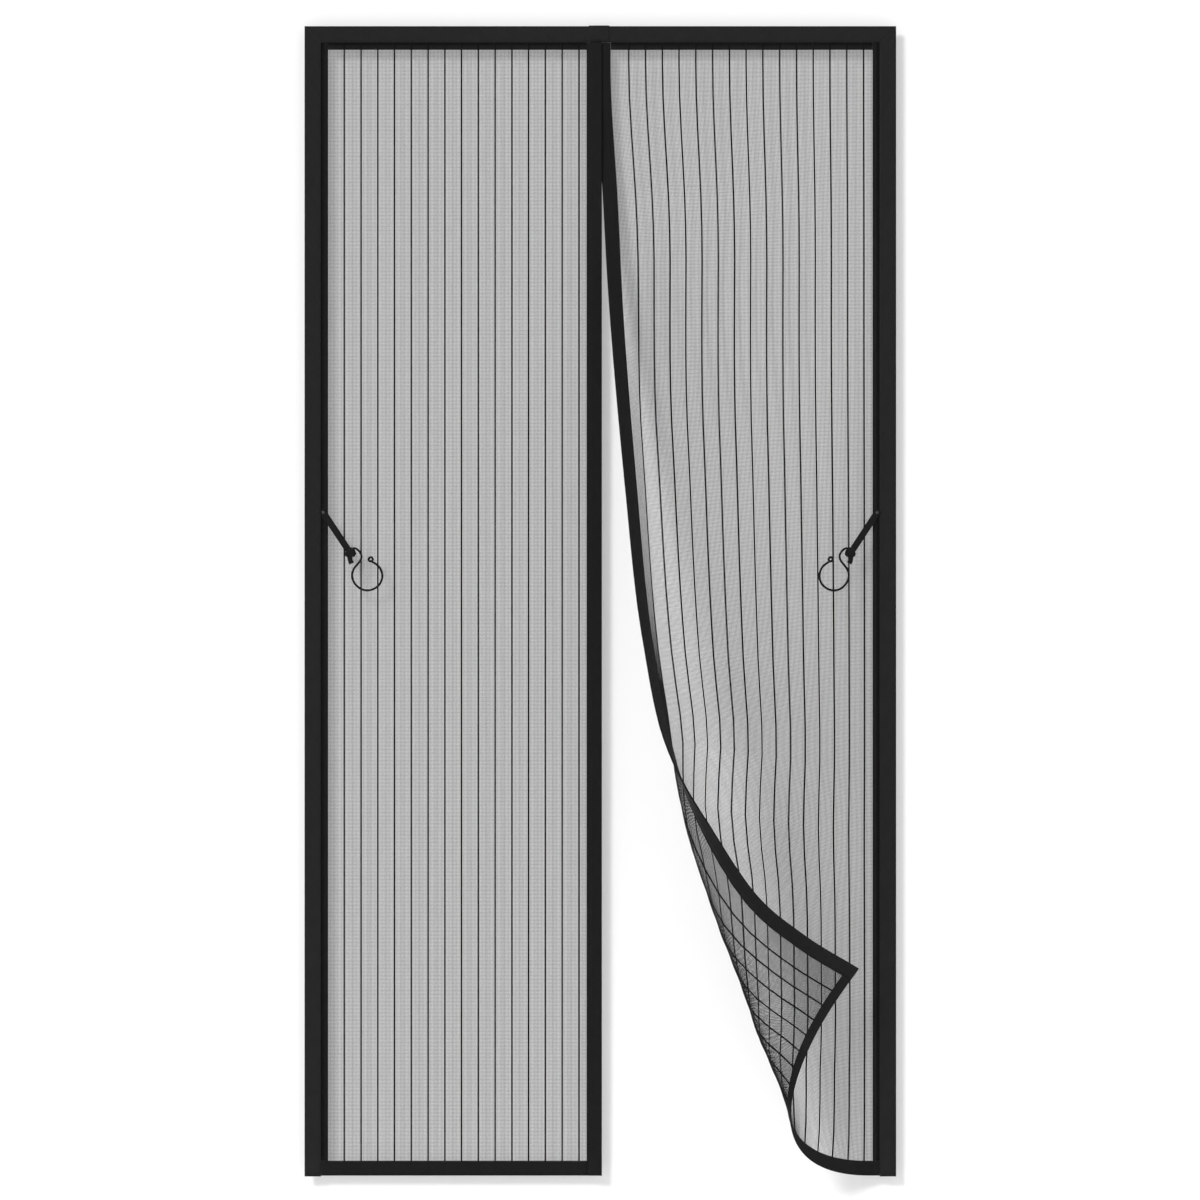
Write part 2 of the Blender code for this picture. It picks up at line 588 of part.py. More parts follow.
def build_tie_back(side, way, mats, through, collection, cutters):
    """Strap with its knot, the wire hook in the knot, and the rivet through strap, net and facing."""
    strap_mat, wire_mat, rivet_mat = mats
    anchor = Vector((way * (HALF - ANCHOR_INSET), STRAP_Y, TOP_Z - ANCHOR_DROP))
    knot_x = anchor.x - way * KNOT_INWARD
    knot_z = anchor.z - KNOT_BELOW
    reach = max(u for u, _ in HOOK_PATH)
    near = far = NET_Y
    if side == "right":
        near = right_leaf_depth(knot_x, knot_z)
        far = right_leaf_depth(knot_x - reach, knot_z - EYE_BELOW)
    slope = math.atan2(near - far, reach)
    inward = Vector((-way * math.cos(slope), -math.sin(slope), 0.0))
    down = Vector((0.0, 0.0, -1.0))
    stand_off = (STRIPE_THICKNESS / 2 + TIE_GAP + KNOT_THICKNESS / 2) / math.cos(slope)
    knot = Vector((knot_x, near - stand_off, knot_z))

    # Strap: flat under the rivet, then straight to the knot, and the tail hanging from it
    along = Vector((knot_x - anchor.x, 0.0, knot_z - anchor.z)).normalized()
    across = along.cross(Vector((0.0, 1.0, 0.0))) * (STRAP_WIDTH / 2)
    line = (anchor - along * STRAP_END, anchor + along * (STRAP_END + RIVET_HEAD_RADIUS), knot)
    rows = np.array([[tuple(p - across), tuple(p + across)] for p in line])
    strap = cloth(f"{side}_tie_strap", rows, STRAP_THICKNESS, strap_mat, collection)

    lump_mesh = bpy.data.meshes.new(f"{side}_knot_shape")
    bm = bmesh.new()
    size = Matrix.Diagonal((KNOT_WIDTH, KNOT_THICKNESS, KNOT_HEIGHT, 1.0))
    bmesh.ops.create_uvsphere(bm, u_segments=20, v_segments=12, radius=0.5, matrix=size)
    bm.to_mesh(lump_mesh)
    bm.free()
    lump_mesh.shade_smooth()
    lump = put(f"{side}_knot_shape", lump_mesh, strap_mat, cutters)
    lump.matrix_world = Matrix.Translation(knot) @ Matrix.Rotation(way * slope, 4, "Z")
    half = inward * (TAIL_WIDTH / 2)
    rows = np.array([[tuple(p - half), tuple(p + half)] for p in (knot, knot + down * TAIL_LENGTH)])
    tail = cloth(f"{side}_tail_shape", rows, STRAP_THICKNESS, strap_mat, cutters)
    add_shape(strap, lump, "UNION", "knot")
    add_shape(strap, tail, "UNION", "tail")

    # Wire hook: bow, ring and the eye at its end
    flat = [(u, v) for u, v in HOOK_PATH]
    for degrees in EYE_DEGREES:
        angle = math.radians(degrees)
        flat.append((EYE_INWARD + EYE_RADIUS * math.cos(angle), EYE_BELOW + EYE_RADIUS * math.sin(angle)))
    points = smooth_path([knot + inward * u + down * v for u, v in flat], 3)
    wire(f"{side}_tie_hook", points, WIRE_RADIUS, wire_mat, collection)
    channel_path = [points[0] * 2 - points[1], *points[:9]]
    channel = wire(f"{side}_channel_shape", channel_path, WIRE_RADIUS + CLEARANCE, wire_mat, cutters)
    add_shape(strap, channel, "DIFFERENCE", "wire_channel")

    # Rivet, and its hole through the strap, the net and the facing
    profile = rivet_profile()
    mesh = bpy.data.meshes.new(f"{side}_rivet")
    mesh.from_pydata([(r, y, 0.0) for r, y in profile], [(i, i + 1) for i in range(len(profile) - 1)], [])
    rivet = put(f"{side}_rivet", mesh, rivet_mat, collection)
    rivet.location = (anchor.x, 0.0, anchor.z)
    spin = rivet.modifiers.new("turned", "SCREW")
    spin.axis = "Y"
    spin.angle = 2 * math.pi
    spin.steps = spin.render_steps = 24
    spin.use_merge_vertices = True
    spin.merge_threshold = 0.0001
    spin.use_smooth_shade = True
    spin.use_normal_flip = True

    mesh = bpy.data.meshes.new(f"{side}_rivet_hole")
    bm = bmesh.new()
    radius = RIVET_SHANK_RADIUS + CLEARANCE
    turn = Matrix.Rotation(math.radians(90), 4, "X")
    bmesh.ops.create_cone(bm, cap_ends=True, segments=24, radius1=radius, radius2=radius,
                          depth=-4 * STRAP_Y, matrix=turn)
    bm.to_mesh(mesh)
    bm.free()
    hole = put(f"{side}_rivet_hole", mesh, rivet_mat, cutters)
    hole.location = (anchor.x, 0.0, anchor.z)
    for ob in (strap, *through):
        add_shape(ob, hole, "DIFFERENCE", "rivet_hole")


def build():
    for ob in list(bpy.data.objects):
        bpy.data.objects.remove(ob)
    scene = bpy.context.scene
    collection = bpy.data.collections.new("magnetic_insect_screen")
    cutters = bpy.data.collections.new("cutters")
    scene.collection.children.link(collection)
    scene.collection.children.link(cutters)

    fabric = material("woven_border_fabric", (0.0168, 0.0168, 0.0172), 0.85)
    hem_fabric = material("hem_fabric", (0.0116, 0.0116, 0.0119), 0.88)
    net_mat = material("insect_net", (0.0160, 0.0160, 0.0160), 0.80)
    hook_mat = material("hook_tape", (0.0130, 0.0130, 0.0133), 0.75)
    loop_mat = material("loop_tape", (0.0130, 0.0130, 0.0133), 0.95)
    magnet_mat = material("magnet", (0.0400, 0.0380, 0.0370), 0.55)
    elastic = material("elastic_strap", (0.0130, 0.0130, 0.0130), 0.80)
    wire_mat = material("coated_wire", (0.0080, 0.0080, 0.0080), 0.30)
    rivet_mat = material("rivet_metal", (0.4200, 0.4200, 0.4300), 0.30, 1.0)

    build_tapes(hook_mat, loop_mat, collection)
    build_tab(fabric, collection)
    facings = build_borders(fabric, collection)
    left = build_left_leaf(hem_fabric, net_mat, magnet_mat, collection)
    right = build_right_leaf(hem_fabric, net_mat, magnet_mat, collection)
    mats = (elastic, wire_mat, rivet_mat)
    build_tie_back("left", -1, mats, (left, facings["left"]), collection, cutters)
    build_tie_back("right", 1, mats, (right, facings["right"]), collection, cutters)

    for ob in cutters.objects:
        ob.hide_render = True
        ob.display_type = "WIRE"


build()
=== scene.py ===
"""Looks of the magnetic insect screen, laid over its CAD frame."""
import math

import bpy
import numpy as np
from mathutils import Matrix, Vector


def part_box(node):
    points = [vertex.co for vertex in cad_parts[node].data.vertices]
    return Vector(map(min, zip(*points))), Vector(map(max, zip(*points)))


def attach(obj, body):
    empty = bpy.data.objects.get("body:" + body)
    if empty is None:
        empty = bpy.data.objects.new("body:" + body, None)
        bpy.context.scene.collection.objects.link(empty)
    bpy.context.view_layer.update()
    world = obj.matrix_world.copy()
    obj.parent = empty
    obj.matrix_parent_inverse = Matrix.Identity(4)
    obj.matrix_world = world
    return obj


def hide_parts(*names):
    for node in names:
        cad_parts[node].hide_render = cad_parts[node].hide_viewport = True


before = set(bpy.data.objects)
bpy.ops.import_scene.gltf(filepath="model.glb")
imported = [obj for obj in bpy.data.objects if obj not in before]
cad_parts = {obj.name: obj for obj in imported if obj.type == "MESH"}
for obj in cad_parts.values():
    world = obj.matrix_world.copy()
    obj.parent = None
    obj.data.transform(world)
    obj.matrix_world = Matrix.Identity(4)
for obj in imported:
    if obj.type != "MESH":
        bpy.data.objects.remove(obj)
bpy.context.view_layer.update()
scene = bpy.context.scene


# Camera, light, wall and floor. The screen hangs on a plain white wall.
# The camera looks straight at it from 30 m with a long lens, so depth hardly changes sizes.
# One sun from the upper left throws the narrow soft shadow to the right and below.
def linear(hex_colour):
    """Linear RGB of an sRGB hex colour: a straight line near black and a power of 2.4 above it."""
    values = [int(hex_colour[i:i + 2], 16) / 255 for i in (0, 2, 4)]
    return [v / 12.92 if v <= 0.04045 else ((v + 0.055) / 1.055) ** 2.4 for v in values]


def new_material(name):
    """New material of this name, and its shader."""
    mat = bpy.data.materials.new(name)
    mat.use_nodes = True
    return mat, mat.node_tree.nodes["Principled BSDF"]


def add(mat, kind, inputs=(), **settings):
    """Shader node with its settings, each input given as a value or as another node's output."""
    made = mat.node_tree.nodes.new(kind)
    for key, value in settings.items():
        setattr(made, key, value)
    for key, value in dict(inputs).items():
        if isinstance(value, bpy.types.NodeSocket):
            mat.node_tree.links.new(value, made.inputs[key])
        else:
            made.inputs[key].default_value = value
    return made


FRAME_METRES = 2.1912
CAMERA_DISTANCE = 30.0
SENSOR_MM = 36.0
VIEW_CENTRE = (-0.0006, -1.0326)
SUN_FROM = (-0.68, -1.0, 0.78)
WALL_Y = 0.018
FLOOR_Z = -2.5
SEEN_WHITE = 0.30

camera = bpy.data.cameras.new("camera")
camera.sensor_width = SENSOR_MM
camera.lens = SENSOR_MM * CAMERA_DISTANCE / FRAME_METRES
camera.clip_end = 100.0
camera_object = bpy.data.objects.new("camera", camera)
camera_object.location = (VIEW_CENTRE[0], -CAMERA_DISTANCE, VIEW_CENTRE[1])
camera_object.rotation_euler = (math.radians(90), 0, 0)
scene.collection.objects.link(camera_object)
scene.camera = camera_object
scene.view_settings.view_transform = "Standard"

sun = bpy.data.lights.new("sun", "SUN")
sun.energy = 2.1
sun.angle = math.radians(14)
sun_object = bpy.data.objects.new("sun", sun)
sun_object.rotation_euler = Vector(SUN_FROM).to_track_quat("Z", "Y").to_euler()
scene.collection.objects.link(sun_object)

world = bpy.data.worlds.new("studio")
world.use_nodes = True
world.node_tree.nodes["Background"].inputs["Color"].default_value = (1, 1, 1, 1)
world.node_tree.nodes["Background"].inputs["Strength"].default_value = 0.67
scene.world = world


def backdrop(name, corners):
    """Pale single-sided plane: it shows and shades from the front and is clear from behind.

    Its matt white paint gives soft shadows with no gloss. A share of what the camera and mirrored
    or bent rays see of it is plain white, which lightens its shadows and puts no light on the screen.
    """
    mesh = bpy.data.meshes.new(name)
    mesh.from_pydata(corners, [], [(0, 1, 2, 3)])
    plane = bpy.data.objects.new(name, mesh)
    scene.collection.objects.link(plane)
    mat, paint = new_material("matt_white_paint")
    paint.inputs["Base Color"].default_value = (0.90, 0.90, 0.90, 1)
    paint.inputs["Roughness"].default_value = 0.95
    paint.inputs["Specular IOR Level"].default_value = 0.0
    rays = add(mat, "ShaderNodeLightPath").outputs
    bounced = add(mat, "ShaderNodeMath", {0: rays["Is Glossy Ray"], 1: rays["Is Transmission Ray"]},
                  operation="MAXIMUM")
    seen = add(mat, "ShaderNodeMath", {0: rays["Is Camera Ray"], 1: bounced.outputs[0]}, operation="MAXIMUM")
    share = add(mat, "ShaderNodeMath", {0: seen.outputs[0], 1: SEEN_WHITE}, operation="MULTIPLY")
    white = add(mat, "ShaderNodeEmission", {"Color": (1, 1, 1, 1), "Strength": 1.0})
    front = add(mat, "ShaderNodeMixShader", {0: share.outputs[0], 1: paint.outputs[0], 2: white.outputs[0]})
    clear = add(mat, "ShaderNodeBsdfTransparent")
    side = add(mat, "ShaderNodeNewGeometry")
    mixed = add(mat, "ShaderNodeMixShader",
                {0: side.outputs["Backfacing"], 1: front.outputs[0], 2: clear.outputs[0]})
    mat.node_tree.links.new(mixed.outputs[0], mat.node_tree.nodes["Material Output"].inputs["Surface"])
    mesh.materials.append(mat)


backdrop("wall", [(-6, WALL_Y, FLOOR_Z), (6, WALL_Y, FLOOR_Z), (6, WALL_Y, 4), (-6, WALL_Y, 4)])
backdrop("floor", [(-6, -7, FLOOR_Z), (6, -7, FLOOR_Z), (6, WALL_Y, FLOOR_Z), (-6, WALL_Y, FLOOR_Z)])


# Tie-backs: woven elastic strap 12 mm wide, its knot with the tail, and the plastic-coated wire hook.
# The strap runs from the rivet at the border to the knot, and the hook hangs from the knot.
def unit(vectors):
    """Vectors of length 1: each divided by its length."""
    return vectors / np.linalg.norm(vectors, axis=-1, keepdims=True)


def sweep(lines, front, outline, scale=None):
    """Closed strands along lines, all with one outline.

    Lines and front are strands x steps x 3. The outline is corners x 2 in metres, anticlockwise
    in (side, front), and each step sets it round its point, times that step's scale. The ends
    are closed with fans. Gives points, quads and a flat map in metres.
    """
    lines = np.asarray(lines, float)
    outline = np.asarray(outline, float)
    count, steps = lines.shape[:2]
    corners = len(outline)
    along = unit(np.gradient(lines, axis=1))
    side = unit(np.cross(front, along))
    front = np.cross(along, side)
    offset = outline[None] * (np.ones(steps) if scale is None else np.asarray(scale))[:, None, None]
    points = (lines[:, :, None] + side[:, :, None] * offset[None, :, :, :1]
              + front[:, :, None] * offset[None, :, :, 1:])
    number = np.arange(count * steps * corners).reshape(count, steps, corners)
    after = np.roll(number, -1, axis=2)
    walls = np.stack([number[:, :-1], after[:, :-1], after[:, 1:], number[:, 1:]], -1).reshape(-1, 4)
    fan = np.array([(0, i + 1, i + 2, i + 3) for i in range(0, corners - 2, 2)])
    ends = np.concatenate([number[:, 0][:, fan[:, ::-1]], number[:, -1][:, fan]]).reshape(-1, 4)
    u = np.concatenate([[0], np.cumsum(np.linalg.norm(np.diff(outline, axis=0), axis=1))])
    v = np.pad(np.cumsum(np.linalg.norm(np.diff(lines, axis=1), axis=-1), axis=1), ((0, 0), (1, 0)))
    flat = np.stack(np.broadcast_arrays(u[None, None], v[:, :, None]), -1).reshape(-1, 2)
    return points.reshape(-1, 3), np.concatenate([walls, ends]), flat


def rounded(width, thickness, corners, power):
    """Corners of a superellipse: |x| to the power plus |y| to the power is 1, drawn out to size.

    Power 2 is an ellipse, and a high power is nearly a rectangle.
    """
    angle = np.linspace(0, 2 * np.pi, corners, endpoint=False) + np.pi / corners
    c, s = np.cos(angle), np.sin(angle)
    reach = (np.abs(c) ** power + np.abs(s) ** power) ** (-1 / power)
    return np.stack([c * reach * width / 2, s * reach * thickness / 2], -1)


def piece(name, parts, mats, slot, *nodes):
    """Smooth object from parts, each (points, quads, flat map, number of its material)."""
    start, points, faces, flat, picks = 0, [], [], [], []
    for p, f, uv, pick in parts:
        points.append(p)
        faces.append(f + start)
        flat.append(uv)
        picks.append(np.full(len(f), pick))
        start += len(p)
    faces, flat = np.concatenate(faces), np.concatenate(flat)
    mesh = bpy.data.meshes.new(name)
    mesh.vertices.add(start)
    mesh.vertices.foreach_set("co", np.concatenate(points).astype(np.float32).ravel())
    mesh.loops.add(faces.size)
    mesh.loops.foreach_set("vertex_index", faces.astype(np.int32).ravel())
    mesh.polygons.add(len(faces))
    mesh.polygons.foreach_set("loop_start", np.arange(0, faces.size, 4, dtype=np.int32))
    mesh.uv_layers.new(name="cloth").data.foreach_set("uv", flat[faces.ravel()].astype(np.float32).ravel())
    mesh.polygons.foreach_set("use_smooth", np.ones(len(faces), dtype=bool))
    mesh.polygons.foreach_set("material_index", np.concatenate(picks).astype(np.int32))
    for mat in mats:
        mesh.materials.append(mat)
    mesh.update(calc_edges=True)
    made = bpy.data.objects.new(name, mesh)
    scene.collection.objects.link(made)
    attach(made, "root")
    if nodes:
        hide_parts(*nodes)
    return made


def woven(name, dark, light, rib, cross, height, roughness, sheen):
    """Woven cloth: weft ribs and finer warp of given pitches in metres, uneven dye, soft nap.

    The threads' height is a sine along the cloth plus half its product with a sine across it.
    A coarse and a fine noise give the uneven dye. A little of that height adds painted shade,
    with the hollows between threads darker. Together they mix the dark and the light colour.
    """
    mat, shader = new_material(name)
    spot = add(mat, "ShaderNodeUVMap", uv_map="cloth").outputs[0]
    axis = add(mat, "ShaderNodeSeparateXYZ", {0: spot})
    waves = []
    for coordinate, pitch in zip("YX", (rib, cross)):
        turns = add(mat, "ShaderNodeMath", {0: axis.outputs[coordinate], 1: 2 * math.pi / pitch},
                    operation="MULTIPLY")
        waves.append(add(mat, "ShaderNodeMath", {0: turns.outputs[0]}, operation="SINE").outputs[0])
    weave = add(mat, "ShaderNodeMath", {0: waves[0], 1: waves[1]}, operation="MULTIPLY")
    threads = add(mat, "ShaderNodeMath", {0: weave.outputs[0], 1: 0.5, 2: waves[0]}, operation="MULTIPLY_ADD")
    mottle = add(mat, "ShaderNodeTexNoise", {"Vector": spot, "Scale": 40.0, "Detail": 5.0, "Roughness": 0.6})
    fleck = add(mat, "ShaderNodeTexNoise", {"Vector": spot, "Scale": 900.0, "Detail": 2.0})
    tone = add(mat, "ShaderNodeMath", {0: mottle.outputs["Fac"], 1: 0.6, 2: fleck.outputs["Fac"]},
               operation="MULTIPLY_ADD")
    # Dye noise plus painted shade: raised threads a little lighter, the hollows between them darker
    dye_and_thread_shade = add(mat, "ShaderNodeMath", {0: threads.outputs[0], 1: 0.14, 2: tone.outputs[0]},
                 operation="MULTIPLY_ADD")
    mix = add(mat, "ShaderNodeMapRange", {"Value": dye_and_thread_shade.outputs[0], "From Min": 0.40, "From Max": 1.20})
    colour = add(mat, "ShaderNodeMix", {"Factor": mix.outputs[0], "A": (*linear(dark), 1),
                                        "B": (*linear(light), 1)}, data_type="RGBA")
    bump = add(mat, "ShaderNodeBump", {"Height": threads.outputs[0], "Distance": height, "Strength": 0.6})
    mat.node_tree.links.new(colour.outputs["Result"], shader.inputs["Base Color"])
    mat.node_tree.links.new(bump.outputs[0], shader.inputs["Normal"])
    for key, value in (("Roughness", roughness), ("Sheen Weight", sheen), ("Sheen Roughness", 0.5),
                       ("Specular IOR Level", 0.12)):
        shader.inputs[key].default_value = value
    return mat


def coated_wire():
    """Steel wire dipped in black plastic: satin, with faint runs along it."""
    mat, shader = new_material("plastic_coated_steel_wire")
    spot = add(mat, "ShaderNodeUVMap", uv_map="cloth").outputs[0]
    runs = add(mat, "ShaderNodeTexNoise", {"Vector": spot, "Scale": 160.0, "Detail": 3.0})
    rough = add(mat, "ShaderNodeMapRange", {"Value": runs.outputs["Fac"], "To Min": 0.30, "To Max": 0.50})
    bump = add(mat, "ShaderNodeBump", {"Height": runs.outputs["Fac"], "Distance": 0.00012, "Strength": 0.4})
    mat.node_tree.links.new(rough.outputs[0], shader.inputs["Roughness"])
    mat.node_tree.links.new(bump.outputs[0], shader.inputs["Normal"])
    shader.inputs["Base Color"].default_value = (*linear("050505"), 1)
    shader.inputs["Specular IOR Level"].default_value = 0.18
    return mat


def smooth_path(points, steps):
    """Catmull-Rom curve through the points, with the given number of steps in each stretch."""
    points = np.asarray(points, float)
    ends = np.concatenate([[2 * points[0] - points[1]], points, [2 * points[-1] - points[-2]]])
    t = np.arange(steps)[:, None] / steps
    spans = [(2 * b + (c - a) * t + (2 * a - 5 * b + 4 * c - d) * t ** 2
              + (3 * b - a - 3 * c + d) * t ** 3) / 2
             for a, b, c, d in zip(ends, ends[1:], ends[2:], ends[3:])]
    return np.concatenate(spans + [points[-1:]])


ROOM = np.array([0.0, -1.0, 0.0])
DOWN = np.array([0.0, 0.0, -1.0])
STRAP_WIDTH = 0.012
STRAP_THICKNESS = 0.0012
STRAP_Y = -0.0066
STRAP_PAST_RIVET = 0.006
STRAP_STRAIGHT = 0.009
ANCHOR = (0.5055, -0.873)
KNOT_INWARD, KNOT_BELOW = 0.049, 0.074
KNOT_HALF_WIDTH, KNOT_HALF_DEPTH, KNOT_HALF_HEIGHT = 0.0098, 0.0043, 0.0090
KNOT_TILT = math.radians(-34)
TAIL_WIDTH, TAIL_THICKNESS = 0.0092, 0.0013
# The tail's middle line, each point as metres below the knot, inward and out from it
TAIL_PATH = [(0.0060, -0.0010, 0.0), (0.0120, 0.0, 0.0010), (0.0165, 0.0015, 0.0012), (0.0188, 0.0025, 0.0)]
# The wire's middle line up to its eye, each point as metres inward from the knot and below it
HOOK_PATH = [
    (0.0000, -0.0040), (0.0045, -0.0082), (0.0100, -0.0082), (0.0165, -0.0033), (0.0205, 0.0050),
    (0.0188, 0.0130), (0.0130, 0.0205), (0.0064, 0.0290), (0.0034, 0.0404), (0.0068, 0.0531),
    (0.0172, 0.0641), (0.0310, 0.0681), (0.0445, 0.0646), (0.0545, 0.0553), (0.0586, 0.0425),
    (0.0557, 0.0300), (0.0490, 0.0215),
]
EYE, EYE_RADIUS = (0.0374, 0.0114), 0.0038
WIRE_RADIUS = 0.0018
COAT = 0.0002

# Woven elastic: fine ribs across a matt, nearly black strap
elastic = woven("woven_elastic", "0C0C0C", "171717", 0.0011, 0.0009, 0.00018, 0.8, 0.05)
wire_finish = coated_wire()

for way, side in ((-1, "left"), (1, "right")):
    # The right hook lies on the slanting leaf, so its slope is that of its CAD solid's box
    low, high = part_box(f"{side}_tie_hook")
    slope = 0.0
    knot_y = low[1] + WIRE_RADIUS
    if side == "right":
        slope = math.atan2(high[1] - low[1] - 2 * WIRE_RADIUS, high[0] - low[0] - 2 * WIRE_RADIUS)
        knot_y = high[1] - WIRE_RADIUS
    anchor = np.array([way * ANCHOR[0], STRAP_Y, ANCHOR[1]])
    knot = np.array([way * (ANCHOR[0] - KNOT_INWARD), knot_y, ANCHOR[1] - KNOT_BELOW])
    inward = np.array([-way * math.cos(slope), -math.sin(slope), 0.0])
    facing = np.array([way * math.sin(slope), -math.cos(slope), 0.0])

    # Strap from the rivet to the knot
    along = unit((knot - anchor) * (1, 0, 1))
    bend = anchor + along * STRAP_STRAIGHT
    path = smooth_path([anchor - along * STRAP_PAST_RIVET, anchor, bend]
                       + [bend + (knot - bend) * t for t in (0.3, 0.6, 0.92)], 6)
    rest = np.broadcast_to(ROOM, path.shape)[None]
    band = sweep(path[None], rest, rounded(STRAP_WIDTH, STRAP_THICKNESS, 20, 5))
    strap = piece(f"{side}_strap", [(*band, 0)], [elastic], "elastic", f"{side}_tie_strap")

    # Knot: a lump with the strap's wraps running over it, and the short tail below it
    turn, rise = np.meshgrid(np.linspace(0, 2 * np.pi, 49), np.linspace(-0.97, 0.97, 27))
    girth = np.sqrt(1 - rise ** 2) ** 0.7
    wraps = 1 + 0.075 * np.sin(3 * (turn + 1.4 * rise)) + 0.05 * np.cos(9 * rise + 2 * turn)
    u = KNOT_HALF_WIDTH * girth * np.cos(turn) * wraps
    n = KNOT_HALF_DEPTH * girth * np.sin(turn) * (0.92 + 0.08 * wraps)
    v = KNOT_HALF_HEIGHT * rise * (1 + 0.10 * np.cos(turn))
    lump = (knot + inward * (u * math.cos(KNOT_TILT) - v * math.sin(KNOT_TILT))[..., None]
            + DOWN * (u * math.sin(KNOT_TILT) + v * math.cos(KNOT_TILT))[..., None]
            + facing * n[..., None])[:, :-1]
    count, sides = lump.shape[:2]
    number = np.arange(count * sides).reshape(count, sides)
    after = np.roll(number, -1, axis=1)
    quads = np.stack([number[:-1], number[1:], after[1:], after[:-1]], -1).reshape(-1, 4)
    caps = [[ring[0], ring[i + 1], ring[i + 2], ring[i + 3]]
            for ring in (number[0], number[-1][::-1]) for i in range(0, sides - 2, 2)]
    faces = np.concatenate([quads, np.array(caps)])[:, ::way]
    metres = np.stack([u, v * 1.5], -1)[:, :-1].reshape(-1, 2)
    tail_run = smooth_path([knot + DOWN * a + inward * b + facing * c for a, b, c in TAIL_PATH], 5)
    tail = sweep(tail_run[None], np.broadcast_to(facing, tail_run.shape)[None],
                 rounded(TAIL_WIDTH, TAIL_THICKNESS, 20, 4))
    lumped = piece(f"{side}_knot", [(lump.reshape(-1, 3), faces, metres, 0), (*tail, 0)], [elastic],
                   "elastic")

    # Wire hook with its bow, ring and eye
    wire = rounded(2 * (WIRE_RADIUS + COAT), 2 * (WIRE_RADIUS + COAT), 14, 2)
    bent = list(HOOK_PATH)
    for degrees in range(72, 397, 36):
        angle = math.radians(degrees)
        bent.append((EYE[0] + EYE_RADIUS * math.cos(angle), EYE[1] + EYE_RADIUS * math.sin(angle)))
    run = smooth_path([knot + inward * a + DOWN * b for a, b in bent], 7)
    hook = sweep(run[None], np.broadcast_to(facing, run.shape)[None], wire)
    hook = piece(f"{side}_wire_hook", [(*hook, 0)], [wire_finish], "coated_wire", f"{side}_tie_hook")


# Net of both leaves: woven plastic-coated yarn about 0.4 mm thick, with raised stripes 3 mm wide at
# 30.6 mm. The left leaf hangs flat. The right one is drawn aside, turned over and laid back across
# itself. The real mesh, 1.2 to 2 mm, is too fine to show, so it is drawn coarser, at 2.5 mm.
TOP_Z = 0.015
NET_Y = -0.0043
LEAF_END = 2.0985
BORDER_WIDTH = 0.030
FACING_WIDTH = 0.043
INNER_BORDER = 0.510
INNER_FACING = 0.497
BOTTOM_HEM_TOP = 2.0715
LEFT_HEM_INNER = -0.0247
RIGHT_HEM_INNER = 0.019
LEFT_FREE_EDGE = 0.003
RIGHT_FREE_EDGE = -0.008
RIGHT_HEM_WIDTH = 0.027
STRIPE_PITCH = 0.0306
LAST_STRIPE = 0.0521
LEFT_LAP_TURN = math.radians(6.8)
RIGHT_LAP_TURN = math.radians(-4.0)
SIDE_LEAVING_TURN = math.radians(20)
LAST_PANEL_TURN = math.radians(24)
LAST_THREAD_TURN = math.radians(12)
LIFT = 0.0543
LIFT_START = 0.81
LIFT_SKEW = 1.18
# Levels of the drawn hem. Its heights are shares of the leaf's height, and its moves and its way out
# are shares of its distance to the facing. Turns are in degrees, and the pulls set how far each
# thread's cubic keeps its direction at the facing and at the last stripe.
STATIONS = np.array([
    # down the leaf, down the wall, moved, out, turn, side pull, free pull
    (0.000, 0.000, 0.000, 0.000, -4.0, 1.00, 1.00),
    (0.043, 0.043, 0.000, 0.000, -4.0, 1.00, 1.00),
    (0.152, 0.151, 0.026, 0.004, 0.0, 1.00, 1.00),
    (0.240, 0.238, 0.045, 0.067, 22.0, 1.00, 1.00),
    (0.403, 0.394, 0.099, 0.246, 38.0, 1.00, 1.00),
    (0.551, 0.534, 0.163, 0.417, 51.0, 0.95, 0.90),
    (0.648, 0.621, 0.237, 0.521, 66.0, 0.85, 0.75),
    (0.689, 0.653, 0.285, 0.553, 90.0, 0.78, 0.65),
    (0.753, 0.701, 0.389, 0.572, 134.0, 0.64, 0.46),
    (0.845, 0.763, 0.567, 0.502, 158.0, 0.88, 0.86),
    (0.913, 0.794, 0.727, 0.378, 170.0, 1.30, 1.25),
    (1.000, 0.824, 0.930, 0.171, 176.0, 1.47, 1.35),
])


def ramp(value, start, end):
    """0 up to start, 1 from end on, and a smooth S between them: three squares less two cubes."""
    t = np.clip((value - start) / (end - start), 0.0, 1.0)
    return t * t * (3 - 2 * t)


def hem_line(drop):
    """Middle of the drawn hem at distances down the flat leaf, on cubics through the stations."""
    level, value = STATIONS[:, 0], STATIONS[:, 1:]
    slope = np.gradient(value, level, axis=0)
    share = drop / LEAF_END
    k = np.clip(np.searchsorted(level, share, side="right") - 1, 0, len(level) - 2)
    step = (level[k + 1] - level[k])[:, None]
    t = (share - level[k])[:, None] / step
    value = ((1 + 2 * t) * (1 - t) ** 2 * value[k] + t * (1 - t) ** 2 * step * slope[k]
             + t * t * (3 - 2 * t) * value[k + 1] + t * t * (t - 1) * step * slope[k + 1])
    middle = RIGHT_FREE_EDGE + RIGHT_HEM_WIDTH / 2
    reach = INNER_FACING - middle
    lap = math.sin(-RIGHT_LAP_TURN) * RIGHT_HEM_WIDTH / 2 * (1 - ramp(share, 0.043, 0.152))
    points = np.stack([middle + value[:, 1] * reach, NET_Y + lap - value[:, 2] * reach,
                       TOP_Z - value[:, 0] * LEAF_END], -1)
    return points, value


